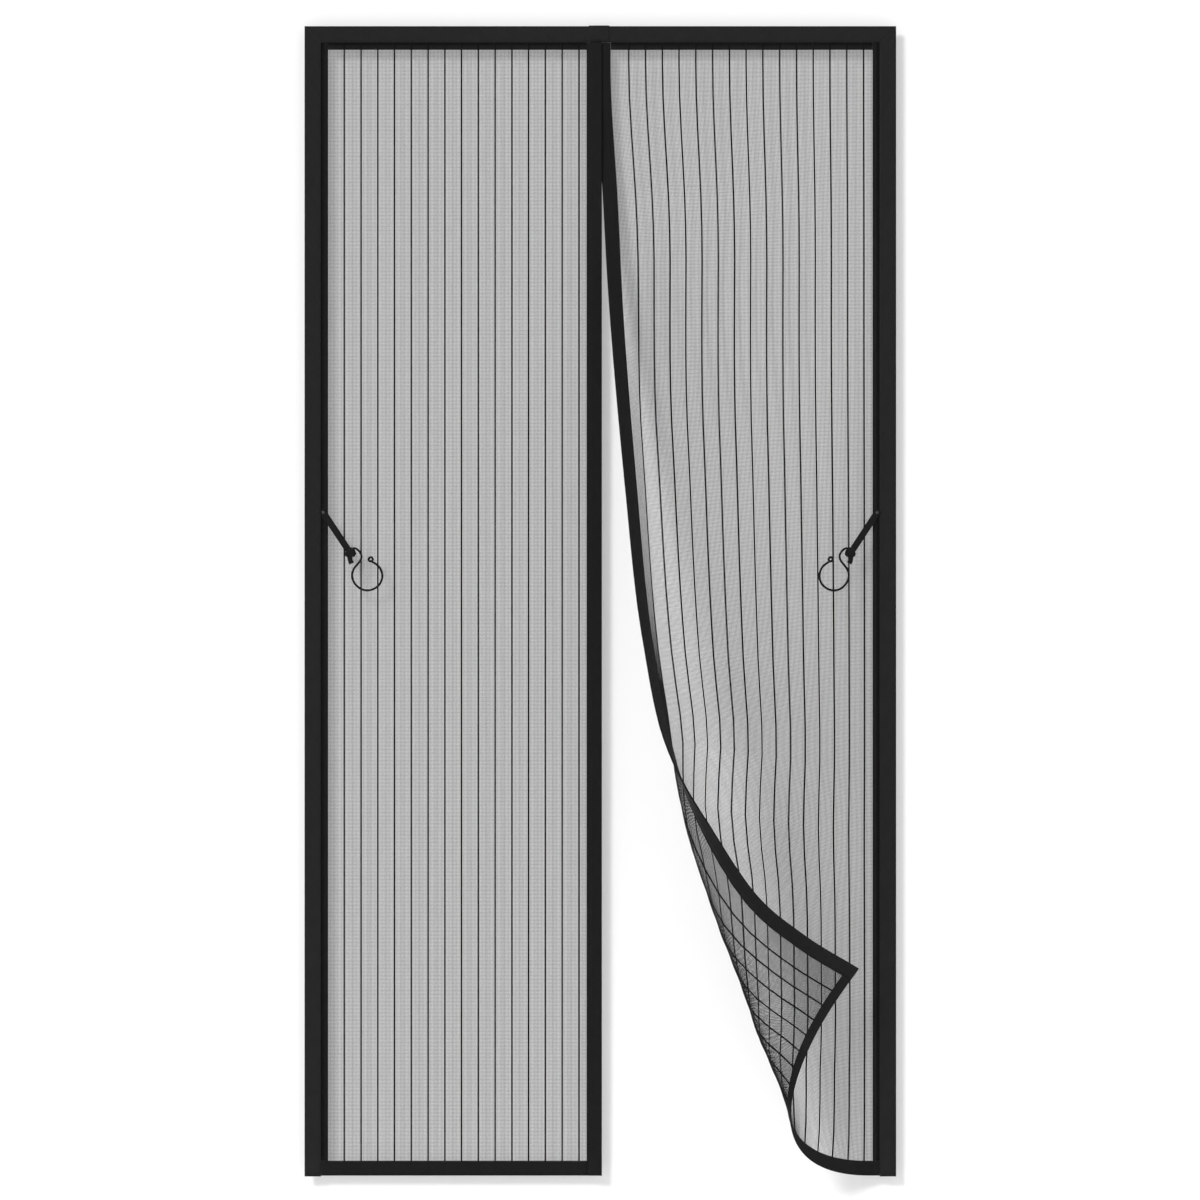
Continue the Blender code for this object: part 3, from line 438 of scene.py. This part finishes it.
def right_leaf(x, drop):
    """Points of the drawn leaf at flat places x and drops, drops x places x 3.

    It is flat outside the facing's edge. Each thread then follows one cubic to the last stripe,
    evenly along its length, and the last panel and the hem are strips with their own turns. The
    lowest part of the cubic stretch is lifted towards the room by a sine bulge.
    """
    x, drop = np.asarray(x, float), np.asarray(drop, float)
    share = drop / LEAF_END
    middle, value = hem_line(drop)
    along = unit(hem_line(drop + 0.001)[0] - hem_line(drop - 0.001)[0])
    left = unit(np.cross(along, ROOM))
    front = unit(np.cross(left, along))
    turn = np.radians(value[:, 3])
    stiff = ramp(share, 0.19, 0.36) * (1 - ramp(share, 0.66, 0.77))
    hem_way, panel_way, thread_way = [
        np.cos(a)[:, None] * left + np.sin(a)[:, None] * front
        for a in (turn, np.maximum(turn, 0) + LAST_PANEL_TURN * stiff,
                  np.maximum(turn, 0) - LAST_THREAD_TURN * stiff)]
    inner = middle - hem_way * RIGHT_HEM_WIDTH / 2
    join = inner - panel_way * (LAST_STRIPE - RIGHT_HEM_INNER)
    root = np.stack([np.full_like(drop, INNER_FACING), np.full_like(drop, NET_Y), TOP_Z - drop], -1)
    leaving = SIDE_LEAVING_TURN * ramp(share, 0.14, 0.57)
    root_way = np.stack([-np.cos(leaving), -np.sin(leaving), 0 * drop], -1)
    reach = INNER_FACING - LAST_STRIPE
    t = np.linspace(0, 1, 161)[None, :, None]
    path = ((1 + 2 * t) * (1 - t) ** 2 * root[:, None] + t * t * (3 - 2 * t) * join[:, None]
            + t * (1 - t) ** 2 * (root_way * reach * value[:, 4:5])[:, None]
            + t * t * (t - 1) * (thread_way * reach * value[:, 5:6])[:, None])
    length = np.cumsum(np.linalg.norm(np.diff(path, axis=1), axis=-1), axis=1)
    length = np.pad(length, ((0, 0), (1, 0))) / length[:, -1:]
    across = np.clip((INNER_FACING - x) / reach, 0, 1)
    points = np.empty((len(drop), len(x), 3))
    for row in range(len(drop)):
        for axis in range(3):
            points[row, :, axis] = np.interp(across, length[row], path[row, :, axis])
    lift = LIFT * np.clip((share - LIFT_START) / (1 - LIFT_START), 0, 1) ** 2
    points[:, :, 1] -= lift[:, None] * np.sin(np.pi * across ** LIFT_SKEW) ** 2
    flat = np.stack(np.broadcast_arrays(x[None, :], np.float64(NET_Y), TOP_Z - drop[:, None]), -1)
    place = x[None, :, None]
    panel = join[:, None] + (LAST_STRIPE - place) * panel_way[:, None]
    hem = inner[:, None] + (RIGHT_HEM_INNER - place) * hem_way[:, None]
    points = np.where(place > INNER_FACING, flat, points)
    points = np.where(place < LAST_STRIPE, panel, points)
    return np.where(place < RIGHT_HEM_INNER, hem, points)


def left_leaf(x, drop):
    """Points of the flat leaf, whose hem turns a little towards the room over the other's."""
    x, drop = np.asarray(x, float), np.asarray(drop, float)
    past = np.maximum(x - LEFT_HEM_INNER, 0)
    place = np.minimum(x, LEFT_HEM_INNER) + past * math.cos(LEFT_LAP_TURN)
    return np.stack(np.broadcast_arrays(place[None], (NET_Y - past * math.sin(LEFT_LAP_TURN))[None],
                                        TOP_Z - drop[:, None]), -1)


def room_side(leaf, x, drop):
    """Unit normals of a leaf on the side that faces the room where it hangs flat.

    They are the cross product of the leaf's small steps down and across.
    """
    x, drop, step = np.asarray(x, float), np.asarray(drop, float), 0.0002
    across = leaf(x + step, drop) - leaf(x - step, drop)
    down = leaf(x, drop + step) - leaf(x, drop - step)
    return unit(np.cross(down, across))


def strands(leaf, places, drops, outline, off, down=True):
    """Threads on a leaf, along its drops or across it, off the leaf's surface by a distance."""
    front = room_side(leaf, places, drops)
    lines = leaf(places, drops) + front * off
    if down:
        lines, front = lines.transpose(1, 0, 2), front.transpose(1, 0, 2)
    return sweep(lines, front, outline)


def spread(line, count, bend):
    """Shares along a surface's edge lines that divide both length and turning about evenly.

    The line is lines x steps x 3. Its measure is length plus bend metres for each radian turned,
    the greatest of all the lines, and the shares divide the sum of it into equal parts.
    """
    run = np.diff(line, axis=1)
    length = np.linalg.norm(run, axis=-1)
    way = unit(run)
    turned = np.arccos(np.clip((way[:, 1:] * way[:, :-1]).sum(-1), -1, 1))
    cost = length.mean(0) + bend * np.pad(turned.max(0), (0, 1))
    total = np.pad(np.cumsum(cost), (1, 0))
    return np.interp(np.linspace(0, total[-1], count), total, np.linspace(0, 1, len(total)))


PITCH = 0.0025
YARN_WIDTH, YARN_THICKNESS = 0.00038, 0.00046
CROSSING = 0.0001
STRIPES = np.arange(15)
STRIPE_WIDTH, STRIPE_THICKNESS = 0.003, 0.001
LEFT_FIRST_STRIPE = -0.4675
RIGHT_FIRST_STRIPE = 0.4805
NET_EDGE = 0.535
NET_START, NET_SHORT = 0.005, 0.004
WEFT_START, WEFT_SHORT = 0.0055, 0.0045
HEM_TUCK = 0.006
BEND_COST = 0.05
square = np.array([(-1, -1), (1, -1), (1, 1), (-1, 1)]) * (YARN_WIDTH / 2, YARN_THICKNESS / 2)
ridge = rounded(STRIPE_WIDTH, STRIPE_THICKNESS, 6, 3)
# Plastic-coated yarn: smooth dark grey threads that let the wall through between them
yarn = woven("coated_net_yarn", "1A1A1A", "2B2B2B", 0.0009, 0.0004, 0.00003, 0.6, 0.0)
# Stripes of packed yarn: matt black ridges, the darkest lines of the net
stripe_yarn = woven("ribbed_net_stripe", "060606", "0E0E0E", 0.0012, 0.0008, 0.0001, 0.8, 0.0)

# Left net: threads down and across, which are straight on the flat leaf, and its stripes
left_rows = [NET_START, LEAF_END - NET_SHORT]
left_across = np.arange(-NET_EDGE, LEFT_HEM_INNER + 0.004, PITCH)
left_down = np.arange(WEFT_START, LEAF_END - WEFT_SHORT, PITCH)
left_columns = [-NET_EDGE, LEFT_HEM_INNER, LEFT_HEM_INNER + HEM_TUCK]
left_stripes = LEFT_FIRST_STRIPE + STRIPE_PITCH * STRIPES
parts = [(*strands(left_leaf, left_across, left_rows, square, CROSSING), 0),
         (*strands(left_leaf, left_columns, left_down, square, -CROSSING, False), 0),
         (*strands(left_leaf, left_stripes, left_rows, ridge, 0.0), 1)]
left_net = piece("left_net", parts, [yarn, stripe_yarn], "insect_net", "left_screen")

# Right net: the same threads, in short steps where the leaf turns
first, last = NET_EDGE, RIGHT_HEM_INNER - HEM_TUCK
right_across = np.arange(first, last - 0.001, -PITCH)[::-1]
fine = np.linspace(last, first, 241)
levels = np.linspace(NET_START, LEAF_END - NET_SHORT, 401)
rows = NET_START + (LEAF_END - NET_START - NET_SHORT) * spread(
    right_leaf(fine[::24], levels).transpose(1, 0, 2), 36, BEND_COST)
right_stripes = RIGHT_FIRST_STRIPE - STRIPE_PITCH * STRIPES
parts = [(*strands(right_leaf, right_across, rows, square, CROSSING), 0),
         (*strands(right_leaf, right_stripes, rows, ridge, 0.0), 1)]
for start, end, count in ((WEFT_START, 0.3, 6), (0.3, 1.1, 13), (1.1, LEAF_END - WEFT_SHORT, 21)):
    above, below = (math.ceil((level - WEFT_START) / PITCH) for level in (start, end))
    drops = np.arange(above, below) * PITCH + WEFT_START
    columns = last + (first - last) * spread(right_leaf(fine, drops[::30]), count, BEND_COST)
    parts.append((*strands(right_leaf, columns, drops, square, -CROSSING, False), 0))
right_net = piece("right_net", parts, [yarn, stripe_yarn], "insect_net", "right_screen")


# Centre hems: cloth 0.5 mm thick folded round the net's free edge, 27 mm wide, with a pocket for
# the magnets and two rows of stitches. The magnets are nine rounded bars in each hem.
STITCH = 0.0032
THREAD = 0.00045
TOUCH = 0.00005
HEM_CLOTH = 0.0005
HEM_TOP = 0.0303
LEG = 0.00075
POCKET = 0.00145
FOLD = 0.0014
FOLD_ARC = np.radians([20, 45, 70, 90])
# Distances from the hem's inner edge: its stitched leg, the shoulder, and the pocket up to the fold
HEM_PROFILE = [TOUCH, 0.0010, 0.0022, 0.0035, 0.0050, 0.0058, 0.0068, 0.0080, 0.0110, 0.0150, 0.0190, 0.0225]
SHOULDER = (0.0050, 0.0080)
SEAM_INSET, FOLD_SEAM_INSET = 0.0026, 0.0030
MAGNET_LENGTH, MAGNET_WIDTH, MAGNET_THICKNESS = 0.020, 0.010, 0.0015
MAGNETS_FROM_TOP, MAGNETS_FROM_END = 0.110, 0.060


def shell(middle, half):
    """Closed cloth round a grid of middle points, half its thickness to each side, with a rim.

    Each side is the middle moved along its normal, the cross product of its steps down and across.
    """
    rows, cols = middle.shape[:2]
    across, down = np.gradient(middle, axis=1), np.gradient(middle, axis=0)
    normal = unit(np.cross(down, across)) * half
    points = np.concatenate([(middle + normal).reshape(-1, 3), (middle - normal).reshape(-1, 3)])
    number = np.arange(rows * cols).reshape(rows, cols)
    quads = np.stack([number[:-1, :-1], number[1:, :-1], number[1:, 1:], number[:-1, 1:]], -1).reshape(-1, 4)
    rim = np.concatenate([number[0], number[1:, -1], number[-1, -2::-1], number[-2:0:-1, 0]])
    after = np.roll(rim, -1)
    edge = np.stack([rim, after, after + rows * cols, rim + rows * cols], -1)
    u = np.pad(np.cumsum(np.linalg.norm(np.diff(middle, axis=1), axis=-1).mean(axis=0)), (1, 0))
    v = np.pad(np.cumsum(np.linalg.norm(np.diff(middle, axis=0), axis=-1).mean(axis=1)), (1, 0))
    flat = np.stack(np.broadcast_arrays(u[None], v[:, None]), -1).reshape(-1, 2)
    return points, np.concatenate([quads, quads[:, ::-1] + rows * cols, edge]), np.concatenate([flat, flat])


def seam(line, front):
    """Row of stitches along a line: short raised threads with both ends in the cloth."""
    length = np.pad(np.cumsum(np.linalg.norm(np.diff(line, axis=0), axis=1)), (1, 0))
    starts = np.arange(0.002, length[-1] - STITCH, STITCH)
    spots = starts[:, None] + np.array([0.08, 0.5, 0.92]) * STITCH
    places = np.stack([np.interp(spots, length, line[:, i]) for i in range(3)], -1)
    fronts = unit(np.stack([np.interp(spots, length, front[:, i]) for i in range(3)], -1))
    lifts = np.array([-0.00012, 0.00014, -0.00012])
    return sweep(places + fronts * lifts[None, :, None], fronts, rounded(THREAD, THREAD * 0.8, 4, 2),
                 [0.6, 1.0, 0.6])


def magnet_drops():
    """Middles of the nine magnets down the leaf, evenly from the first one to the last."""
    return np.linspace(HEM_TOP + MAGNETS_FROM_TOP, LEAF_END - MAGNETS_FROM_END, 9)


def magnet_finish():
    """Sintered magnet bar: dull dark grey with fine pits."""
    mat, shader = new_material("sintered_ferrite_magnet")
    spot = add(mat, "ShaderNodeTexCoord").outputs["Object"]
    pits = add(mat, "ShaderNodeTexNoise", {"Vector": spot, "Scale": 1400.0, "Detail": 4.0})
    colour = add(mat, "ShaderNodeMix", {"Factor": pits.outputs["Fac"], "A": (*linear("2A2928"), 1),
                                        "B": (*linear("4A4846"), 1)}, data_type="RGBA")
    bump = add(mat, "ShaderNodeBump", {"Height": pits.outputs["Fac"], "Distance": 0.00005, "Strength": 0.5})
    mat.node_tree.links.new(colour.outputs["Result"], shader.inputs["Base Color"])
    mat.node_tree.links.new(bump.outputs[0], shader.inputs["Normal"])
    shader.inputs["Roughness"].default_value = 0.6
    shader.inputs["Metallic"].default_value = 0.4
    return mat


# Plain woven hem cloth: even matt black with a fine weave. Polyester thread: small raised stitches
hem_cloth = woven("plain_woven_hem_cloth", "0D0D0D", "181818", 0.0007, 0.0006, 0.0001, 0.85, 0.06)
stitch_thread = woven("polyester_stitching", "0E0E0E", "1C1C1C", 0.0006, 0.0005, 0.00004, 0.6, 0.1)
magnet_mat = magnet_finish()
for side, leaf, inner, free in (("left", left_leaf, LEFT_HEM_INNER, LEFT_FREE_EDGE),
                                ("right", right_leaf, RIGHT_HEM_INNER, RIGHT_FREE_EDGE)):
    # Folded cloth: one profile across the hem, soft along it and swollen over each magnet
    way = math.copysign(1, free - inner)
    drops = np.linspace(BORDER_WIDTH + TOUCH, LEAF_END, 518)
    width = abs(free - inner) - HEM_CLOTH / 2
    ahead = np.array([*HEM_PROFILE, width - FOLD])
    ahead = np.concatenate([ahead, width - FOLD + FOLD * np.sin(FOLD_ARC)])
    depth = LEG + (POCKET - LEG) * ramp(ahead, *SHOULDER)
    depth[-4:] = POCKET * np.cos(FOLD_ARC)
    ahead = np.concatenate([ahead, ahead[-2::-1]])
    depth = np.concatenate([depth, -depth[-2::-1]])
    soft = np.sin(drops * 2 * np.pi / 0.027) + np.sin(drops * 2 * np.pi / 0.0171 + 1.3)
    near = np.clip(1 - np.abs(drops[:, None] - magnet_drops()[None]).min(axis=1) / 0.014, 0, 1)
    puff = 0.00005 * soft[:, None] + 0.00022 * ramp(near, 0.0, 0.4)[:, None]
    swell = np.sign(depth)[None] * puff * ramp(ahead, 0.004, 0.009)[None]
    places = inner + way * ahead
    inside = np.minimum(places, inner - 0.0003) if way < 0 else np.maximum(places, inner + 0.0003)
    normal = room_side(leaf, inside, drops)
    middle = leaf(places, drops) + (depth[None] + swell)[:, :, None] * normal
    if way < 0:
        middle = middle[:, ::-1]
    parts = [(*shell(middle, HEM_CLOTH / 2), 0)]
    for offset, height in ((SEAM_INSET, LEG), (width - FOLD_SEAM_INSET, POCKET)):
        for face in (1, -1):
            at = [inner + way * offset]
            line = leaf(at, drops)[:, 0] + face * normal[:, 0] * (height + HEM_CLOTH / 2)
            parts.append((*seam(line, face * normal[:, 0]), 1))
    piece(f"{side}_centre_hem_cloth", parts, [hem_cloth, stitch_thread], "hem_fabric",
          f"{side}_centre_hem")

    # Magnets in the middle of the pocket
    middle_x = (inner + way * SHOULDER[1] + free) / 2
    for i, drop in enumerate(magnet_drops()):
        rows = np.array([-0.5, -0.47, -0.3, 0.0, 0.3, 0.47, 0.5]) * MAGNET_LENGTH + drop
        line = leaf([middle_x], rows).transpose(1, 0, 2)
        fronts = room_side(leaf, [middle_x], rows).transpose(1, 0, 2)
        bar = sweep(line, fronts, rounded(MAGNET_WIDTH, MAGNET_THICKNESS, 16, 8),
                    [0.94, 1, 1, 1, 1, 1, 0.94])
        piece(f"{side}_magnet_bar_{i + 1}", [(*bar, 0)], [magnet_mat], "magnet", f"{side}_magnet_{i + 1}")


# Bottom hems: 27 mm high, of the same black cloth as the centre hems. It is folded round the net's
# lower edge and held by two rows of stitches, one under its top edge and one above the fold.
BOTTOM_LEG = 0.00105
# Distances below the hem's top edge, down to where the fold starts
BOTTOM_PROFILE = np.array([0.0, 0.0012, 0.003, 0.007, 0.012, 0.017, 0.022, 0.0253])
BOTTOM_SEAMS = (0.0030, 0.0237)
BOTTOM_MIDDLE, BOTTOM_SOFT_HALF = 2.085, 0.012

for side, leaf, start, end in (("left", left_leaf, -INNER_BORDER + TOUCH, LEFT_HEM_INNER - TOUCH),
                               ("right", right_leaf, RIGHT_HEM_INNER + TOUCH, INNER_BORDER - TOUCH)):
    places = np.linspace(start, end, 122)
    fold = LEAF_END - HEM_CLOTH / 2
    drops = BOTTOM_PROFILE + BOTTOM_HEM_TOP
    drops = np.concatenate([drops, drops[-1] + (fold - drops[-1]) * np.sin(FOLD_ARC)])
    depth = np.concatenate([np.full(len(BOTTOM_PROFILE), BOTTOM_LEG), BOTTOM_LEG * np.cos(FOLD_ARC)])
    drops = np.concatenate([drops, drops[-2::-1]])
    depth = np.concatenate([depth, -depth[-2::-1]])
    normal = room_side(leaf, places, drops)
    soft = 0.00006 * (np.sin(places * 2 * np.pi / 0.023) + np.sin(places * 2 * np.pi / 0.0147 + 0.7))
    swell = soft[None] * (np.sign(depth) * (np.abs(drops - BOTTOM_MIDDLE) < BOTTOM_SOFT_HALF))[:, None]
    middle = leaf(places, drops) + (depth[:, None] + swell)[:, :, None] * normal
    parts = [(*shell(middle, HEM_CLOTH / 2), 0)]
    for offset in BOTTOM_SEAMS:
        at = np.array([BOTTOM_HEM_TOP + offset])
        square_to = room_side(leaf, places, at)[0]
        for face in (1, -1):
            line = leaf(places, at)[0] + face * square_to * (BOTTOM_LEG + HEM_CLOTH / 2)
            parts.append((*seam(line, face * square_to), 1))
    piece(f"{side}_bottom_hem_cloth", parts, [hem_cloth, stitch_thread], "hem_fabric",
          f"{side}_bottom_hem")


# Borders and facings: ribbed binding tape 30 mm wide on the front, mitred at the corners, and plain
# cloth 43 mm wide behind the net. Both are sewn on along their edges, and through the net the
# facing shows as a band. Beside the border a nearly black strip of it is painted shadow of the border's edge.
HALF = 0.540
HEIGHT = 2.100
FACING_Y = -0.00325
FACING_THICKNESS = 0.0005
FACING_RIPPLE = 0.00005
BORDER_Y = -0.0054
BORDER_THICKNESS = 0.0006
BORDER_RIPPLE = 0.00006
BORDER_SEAMS = (0.0022, BORDER_WIDTH - 0.0022)
# Ribbed tape: matt charcoal, a little lighter than the hems, with close ribs across it
border_cloth = woven("ribbed_border_tape", "141415", "222223", 0.0016, 0.0008, 0.0002, 0.85, 0.08)
# Plain cloth: matt charcoal with a faint warm cast, seen through the net
facing_cloth = woven("plain_facing_cloth", "151514", "222220", 0.0008, 0.0007, 0.00012, 0.85, 0.1)
# Painted shadow: a nearly black strip of the facing beside the border, in place of the border's edge shadow
border_shadow_paint = woven("painted_border_shadow_cloth", "060605", "0C0C0A", 0.0012, 0.0005, 0.0002, 0.95, 0.0)


def facing_with_painted_shadow(grid, strip, across):
    """Facing cloth from its grid, with painted shadow of the border's edge on one strip of its room side.

    The strip is the number of a row of faces, counted across the columns or down the rows.
    """
    points, faces, metres = shell(grid, FACING_THICKNESS / 2)
    rows, cols = grid.shape[0] - 1, grid.shape[1] - 1
    spot = np.broadcast_to(np.arange(cols)[None] if across else np.arange(rows)[:, None], (rows, cols))
    picks = np.zeros(len(faces), dtype=int)
    # The strip's room-side faces take the painted shadow material
    picks[:rows * cols] = (spot == strip).ravel()
    return points, faces, metres, picks


def flat_cloth(top, bottom, y, rows, cols, ripple):
    """Grid between two edges, each (x of left end, x of right end, drop of each), faintly rippled.

    It goes evenly from edge to edge, and its ripple is the product of two slanting sines.
    """
    down = np.linspace(0, 1, rows)[:, None]
    over = np.linspace(0, 1, cols)[None]
    (a, b, da, db), (c, d, dc, dd) = top, bottom
    x = (a * (1 - over) + b * over) * (1 - down) + (c * (1 - over) + d * over) * down
    drop = (da * (1 - over) + db * over) * (1 - down) + (dc * (1 - over) + dd * over) * down
    wave = np.sin(drop * 2 * np.pi / 0.031 + x * 40) * np.sin(x * 2 * np.pi / 0.047 + drop * 23)
    return np.stack([x, y + ripple * wave * np.ones_like(x), TOP_Z - drop], -1)


def edge_of(pair, drops):
    """The two ends of an edge and their drops, put in order from left to right."""
    order = sorted(zip(pair, drops))
    return (order[0][0], order[1][0], order[0][1], order[1][1])


def border_seam(x, drop):
    """Stitches along places x and drops on the border's face."""
    line = np.stack(np.broadcast_arrays(x, BORDER_Y - BORDER_THICKNESS / 2, TOP_Z - drop), -1)
    return seam(line, np.broadcast_to(ROOM, line.shape))


for side, way, middle, facing_end in (("left", -1, LEFT_FREE_EDGE - TOUCH, LEFT_HEM_INNER - TOUCH),
                                      ("right", 1, LEFT_FREE_EDGE, RIGHT_HEM_INNER + TOUCH)):
    outer, inner = way * HALF, way * INNER_BORDER

    # Side border, its stitches and its mitre at the top
    top = edge_of((outer, inner), (0.0, BORDER_WIDTH))
    low = edge_of((outer, inner), (HEIGHT, HEIGHT))
    parts = [(*shell(flat_cloth(top, low, BORDER_Y, 525, 9, BORDER_RIPPLE), BORDER_THICKNESS / 2), 0)]
    for off in BORDER_SEAMS:
        drops = np.linspace(off + 0.001, HEIGHT - 0.001, 400)
        parts.append((*border_seam(way * (HALF - off), drops), 1))
    piece(f"{side}_side_border_tape", parts, [border_cloth, stitch_thread], "border_fabric",
          f"{side}_side_border")

    # Top border, with its flat map turned so that its ribs run across it too
    mitre = way * 2 * TOUCH
    top = edge_of((outer - mitre, middle), (0.0, 0.0))
    low = edge_of((inner - mitre, middle), (BORDER_WIDTH, BORDER_WIDTH))
    grid = flat_cloth(top, low, BORDER_Y, 9, 135, BORDER_RIPPLE)
    points, faces, metres = shell(grid, BORDER_THICKNESS / 2)
    parts = [(points, faces, metres[:, ::-1], 0)]
    for off in BORDER_SEAMS:
        reach = np.linspace(*sorted((outer - mitre - way * off, middle)), 120)
        parts.append((*border_seam(reach, off), 1))
    piece(f"{side}_top_border_tape", parts, [border_cloth, stitch_thread], "border_fabric",
          f"{side}_top_border")

    # Facings down the side and along the top, each with its strip of painted shadow beside the border
    inner = way * INNER_FACING
    foot = BOTTOM_HEM_TOP - TOUCH
    top = edge_of((outer, inner), (0.0, 0.0))
    low = edge_of((outer, inner), (foot, foot))
    grid = flat_cloth(top, low, FACING_Y, 140, 7, FACING_RIPPLE)
    piece(f"{side}_side_facing_cloth", [facing_with_painted_shadow(grid, 4 if way < 0 else 1, True)],
          [facing_cloth, border_shadow_paint], "hem_fabric", f"{side}_side_facing")
    start = inner - way * TOUCH
    top = edge_of((start, facing_end), (0.0, 0.0))
    low = edge_of((start, facing_end), (FACING_WIDTH, FACING_WIDTH))
    grid = flat_cloth(top, low, FACING_Y, 7, 40, FACING_RIPPLE)
    piece(f"{side}_top_facing_cloth", [facing_with_painted_shadow(grid, 4, False)], [facing_cloth, border_shadow_paint],
          "hem_fabric", f"{side}_top_facing")


# Tab over the top edge where the leaves meet: a piece of the border's ribbed tape 37 mm wide.
# It is folded over the edge, and stitched round on the room side.
TAB_Y = -0.00625
LOOP_Y = -0.0021
TAB_LEFT, TAB_RIGHT = -0.0205, 0.0165
TAB_THICKNESS = 0.0005
# The fold seen from the side, from the front's lower edge over the top to the back's lower edge
section = [(TAB_Y, 0.0285), (TAB_Y, 0.020), (TAB_Y, 0.010), (TAB_Y, 0.003), (TAB_Y, 0.0003),
           (TAB_Y + 0.0002, -0.0005), (TAB_Y + 0.0006, -0.0010), (TAB_Y + 0.0012, -0.0011),
           (LOOP_Y - 0.0012, -0.0011), (LOOP_Y - 0.0006, -0.0010), (LOOP_Y - 0.0002, -0.0005),
           (LOOP_Y, 0.0003), (LOOP_Y, 0.003), (LOOP_Y, 0.010), (LOOP_Y, 0.020), (LOOP_Y, 0.0285)]
over = np.linspace(TAB_LEFT, TAB_RIGHT, 12)
grid = np.array([[(x, y, TOP_Z - drop) for x in over] for y, drop in section[::-1]])
parts = [(*shell(grid, TAB_THICKNESS / 2), 0)]
box_line = np.array([(-0.0185, 0.0265), (-0.0185, 0.0020), (0.0145, 0.0020), (0.0145, 0.0265),
                     (-0.0185, 0.0265)])
for a, b in zip(box_line, box_line[1:]):
    t = np.linspace(0, 1, 20)[:, None]
    flat = a * (1 - t) + b * t
    line = np.stack([flat[:, 0], np.full(20, TAB_Y - TAB_THICKNESS / 2), TOP_Z - flat[:, 1]], -1)
    parts.append((*seam(line, np.broadcast_to(ROOM, line.shape)), 1))
piece("centre_tab_cloth", parts, [border_cloth, stitch_thread], "border_fabric", "centre_tab")


# Hook tape on the wall and loop tape on the facings, 25 mm wide, and the rivets of the tie-backs.
# They keep their CAD solids and get a knitted ground with hooks or loops, and plated metal.
def tape_finish(name, dark, light, scale, height):
    """Tape with a pile: cells of the given count per metre over a knitted ground."""
    mat, shader = new_material(name)
    spot = add(mat, "ShaderNodeTexCoord").outputs["Object"]
    pile = add(mat, "ShaderNodeTexVoronoi", {"Vector": spot, "Scale": scale})
    fuzz = add(mat, "ShaderNodeTexNoise", {"Vector": spot, "Scale": scale * 2.3, "Detail": 4.0})
    both = add(mat, "ShaderNodeMath", {0: pile.outputs["Distance"], 1: 0.6, 2: fuzz.outputs["Fac"]},
               operation="MULTIPLY_ADD")
    colour = add(mat, "ShaderNodeMix", {"Factor": both.outputs[0], "A": (*linear(light), 1),
                                        "B": (*linear(dark), 1)}, data_type="RGBA")
    bump = add(mat, "ShaderNodeBump", {"Height": both.outputs[0], "Distance": height, "Strength": 0.8})
    mat.node_tree.links.new(colour.outputs["Result"], shader.inputs["Base Color"])
    mat.node_tree.links.new(bump.outputs[0], shader.inputs["Normal"])
    shader.inputs["Roughness"].default_value = 0.85
    shader.inputs["Sheen Weight"].default_value = 0.3
    return mat


def plated_metal():
    """Blackened nickel plate with fine wear: metal, with roughness that varies over the dome."""
    mat, shader = new_material("black_nickel_plated_brass")
    spot = add(mat, "ShaderNodeTexCoord").outputs["Object"]
    wear = add(mat, "ShaderNodeTexNoise", {"Vector": spot, "Scale": 700.0, "Detail": 5.0})
    rough = add(mat, "ShaderNodeMapRange", {"Value": wear.outputs["Fac"], "To Min": 0.18, "To Max": 0.45})
    mat.node_tree.links.new(rough.outputs[0], shader.inputs["Roughness"])
    shader.inputs["Base Color"].default_value = (*linear("48484A"), 1)
    shader.inputs["Metallic"].default_value = 1.0
    return mat


finishes = {"hook": tape_finish("woven_hook_tape", "121212", "262626", 700.0, 0.0004),
            "loop": tape_finish("brushed_loop_tape", "141414", "2C2C2C", 420.0, 0.0005),
            "rivet": plated_metal()}
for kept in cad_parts:
    kind = "rivet" if kept.endswith("rivet") else kept.split("_")[0]
    if kind in finishes and bpy.data.objects.get(kept):
        mesh = bpy.data.objects[kept].data
        mesh.materials.clear()
        mesh.materials.append(finishes[kind])
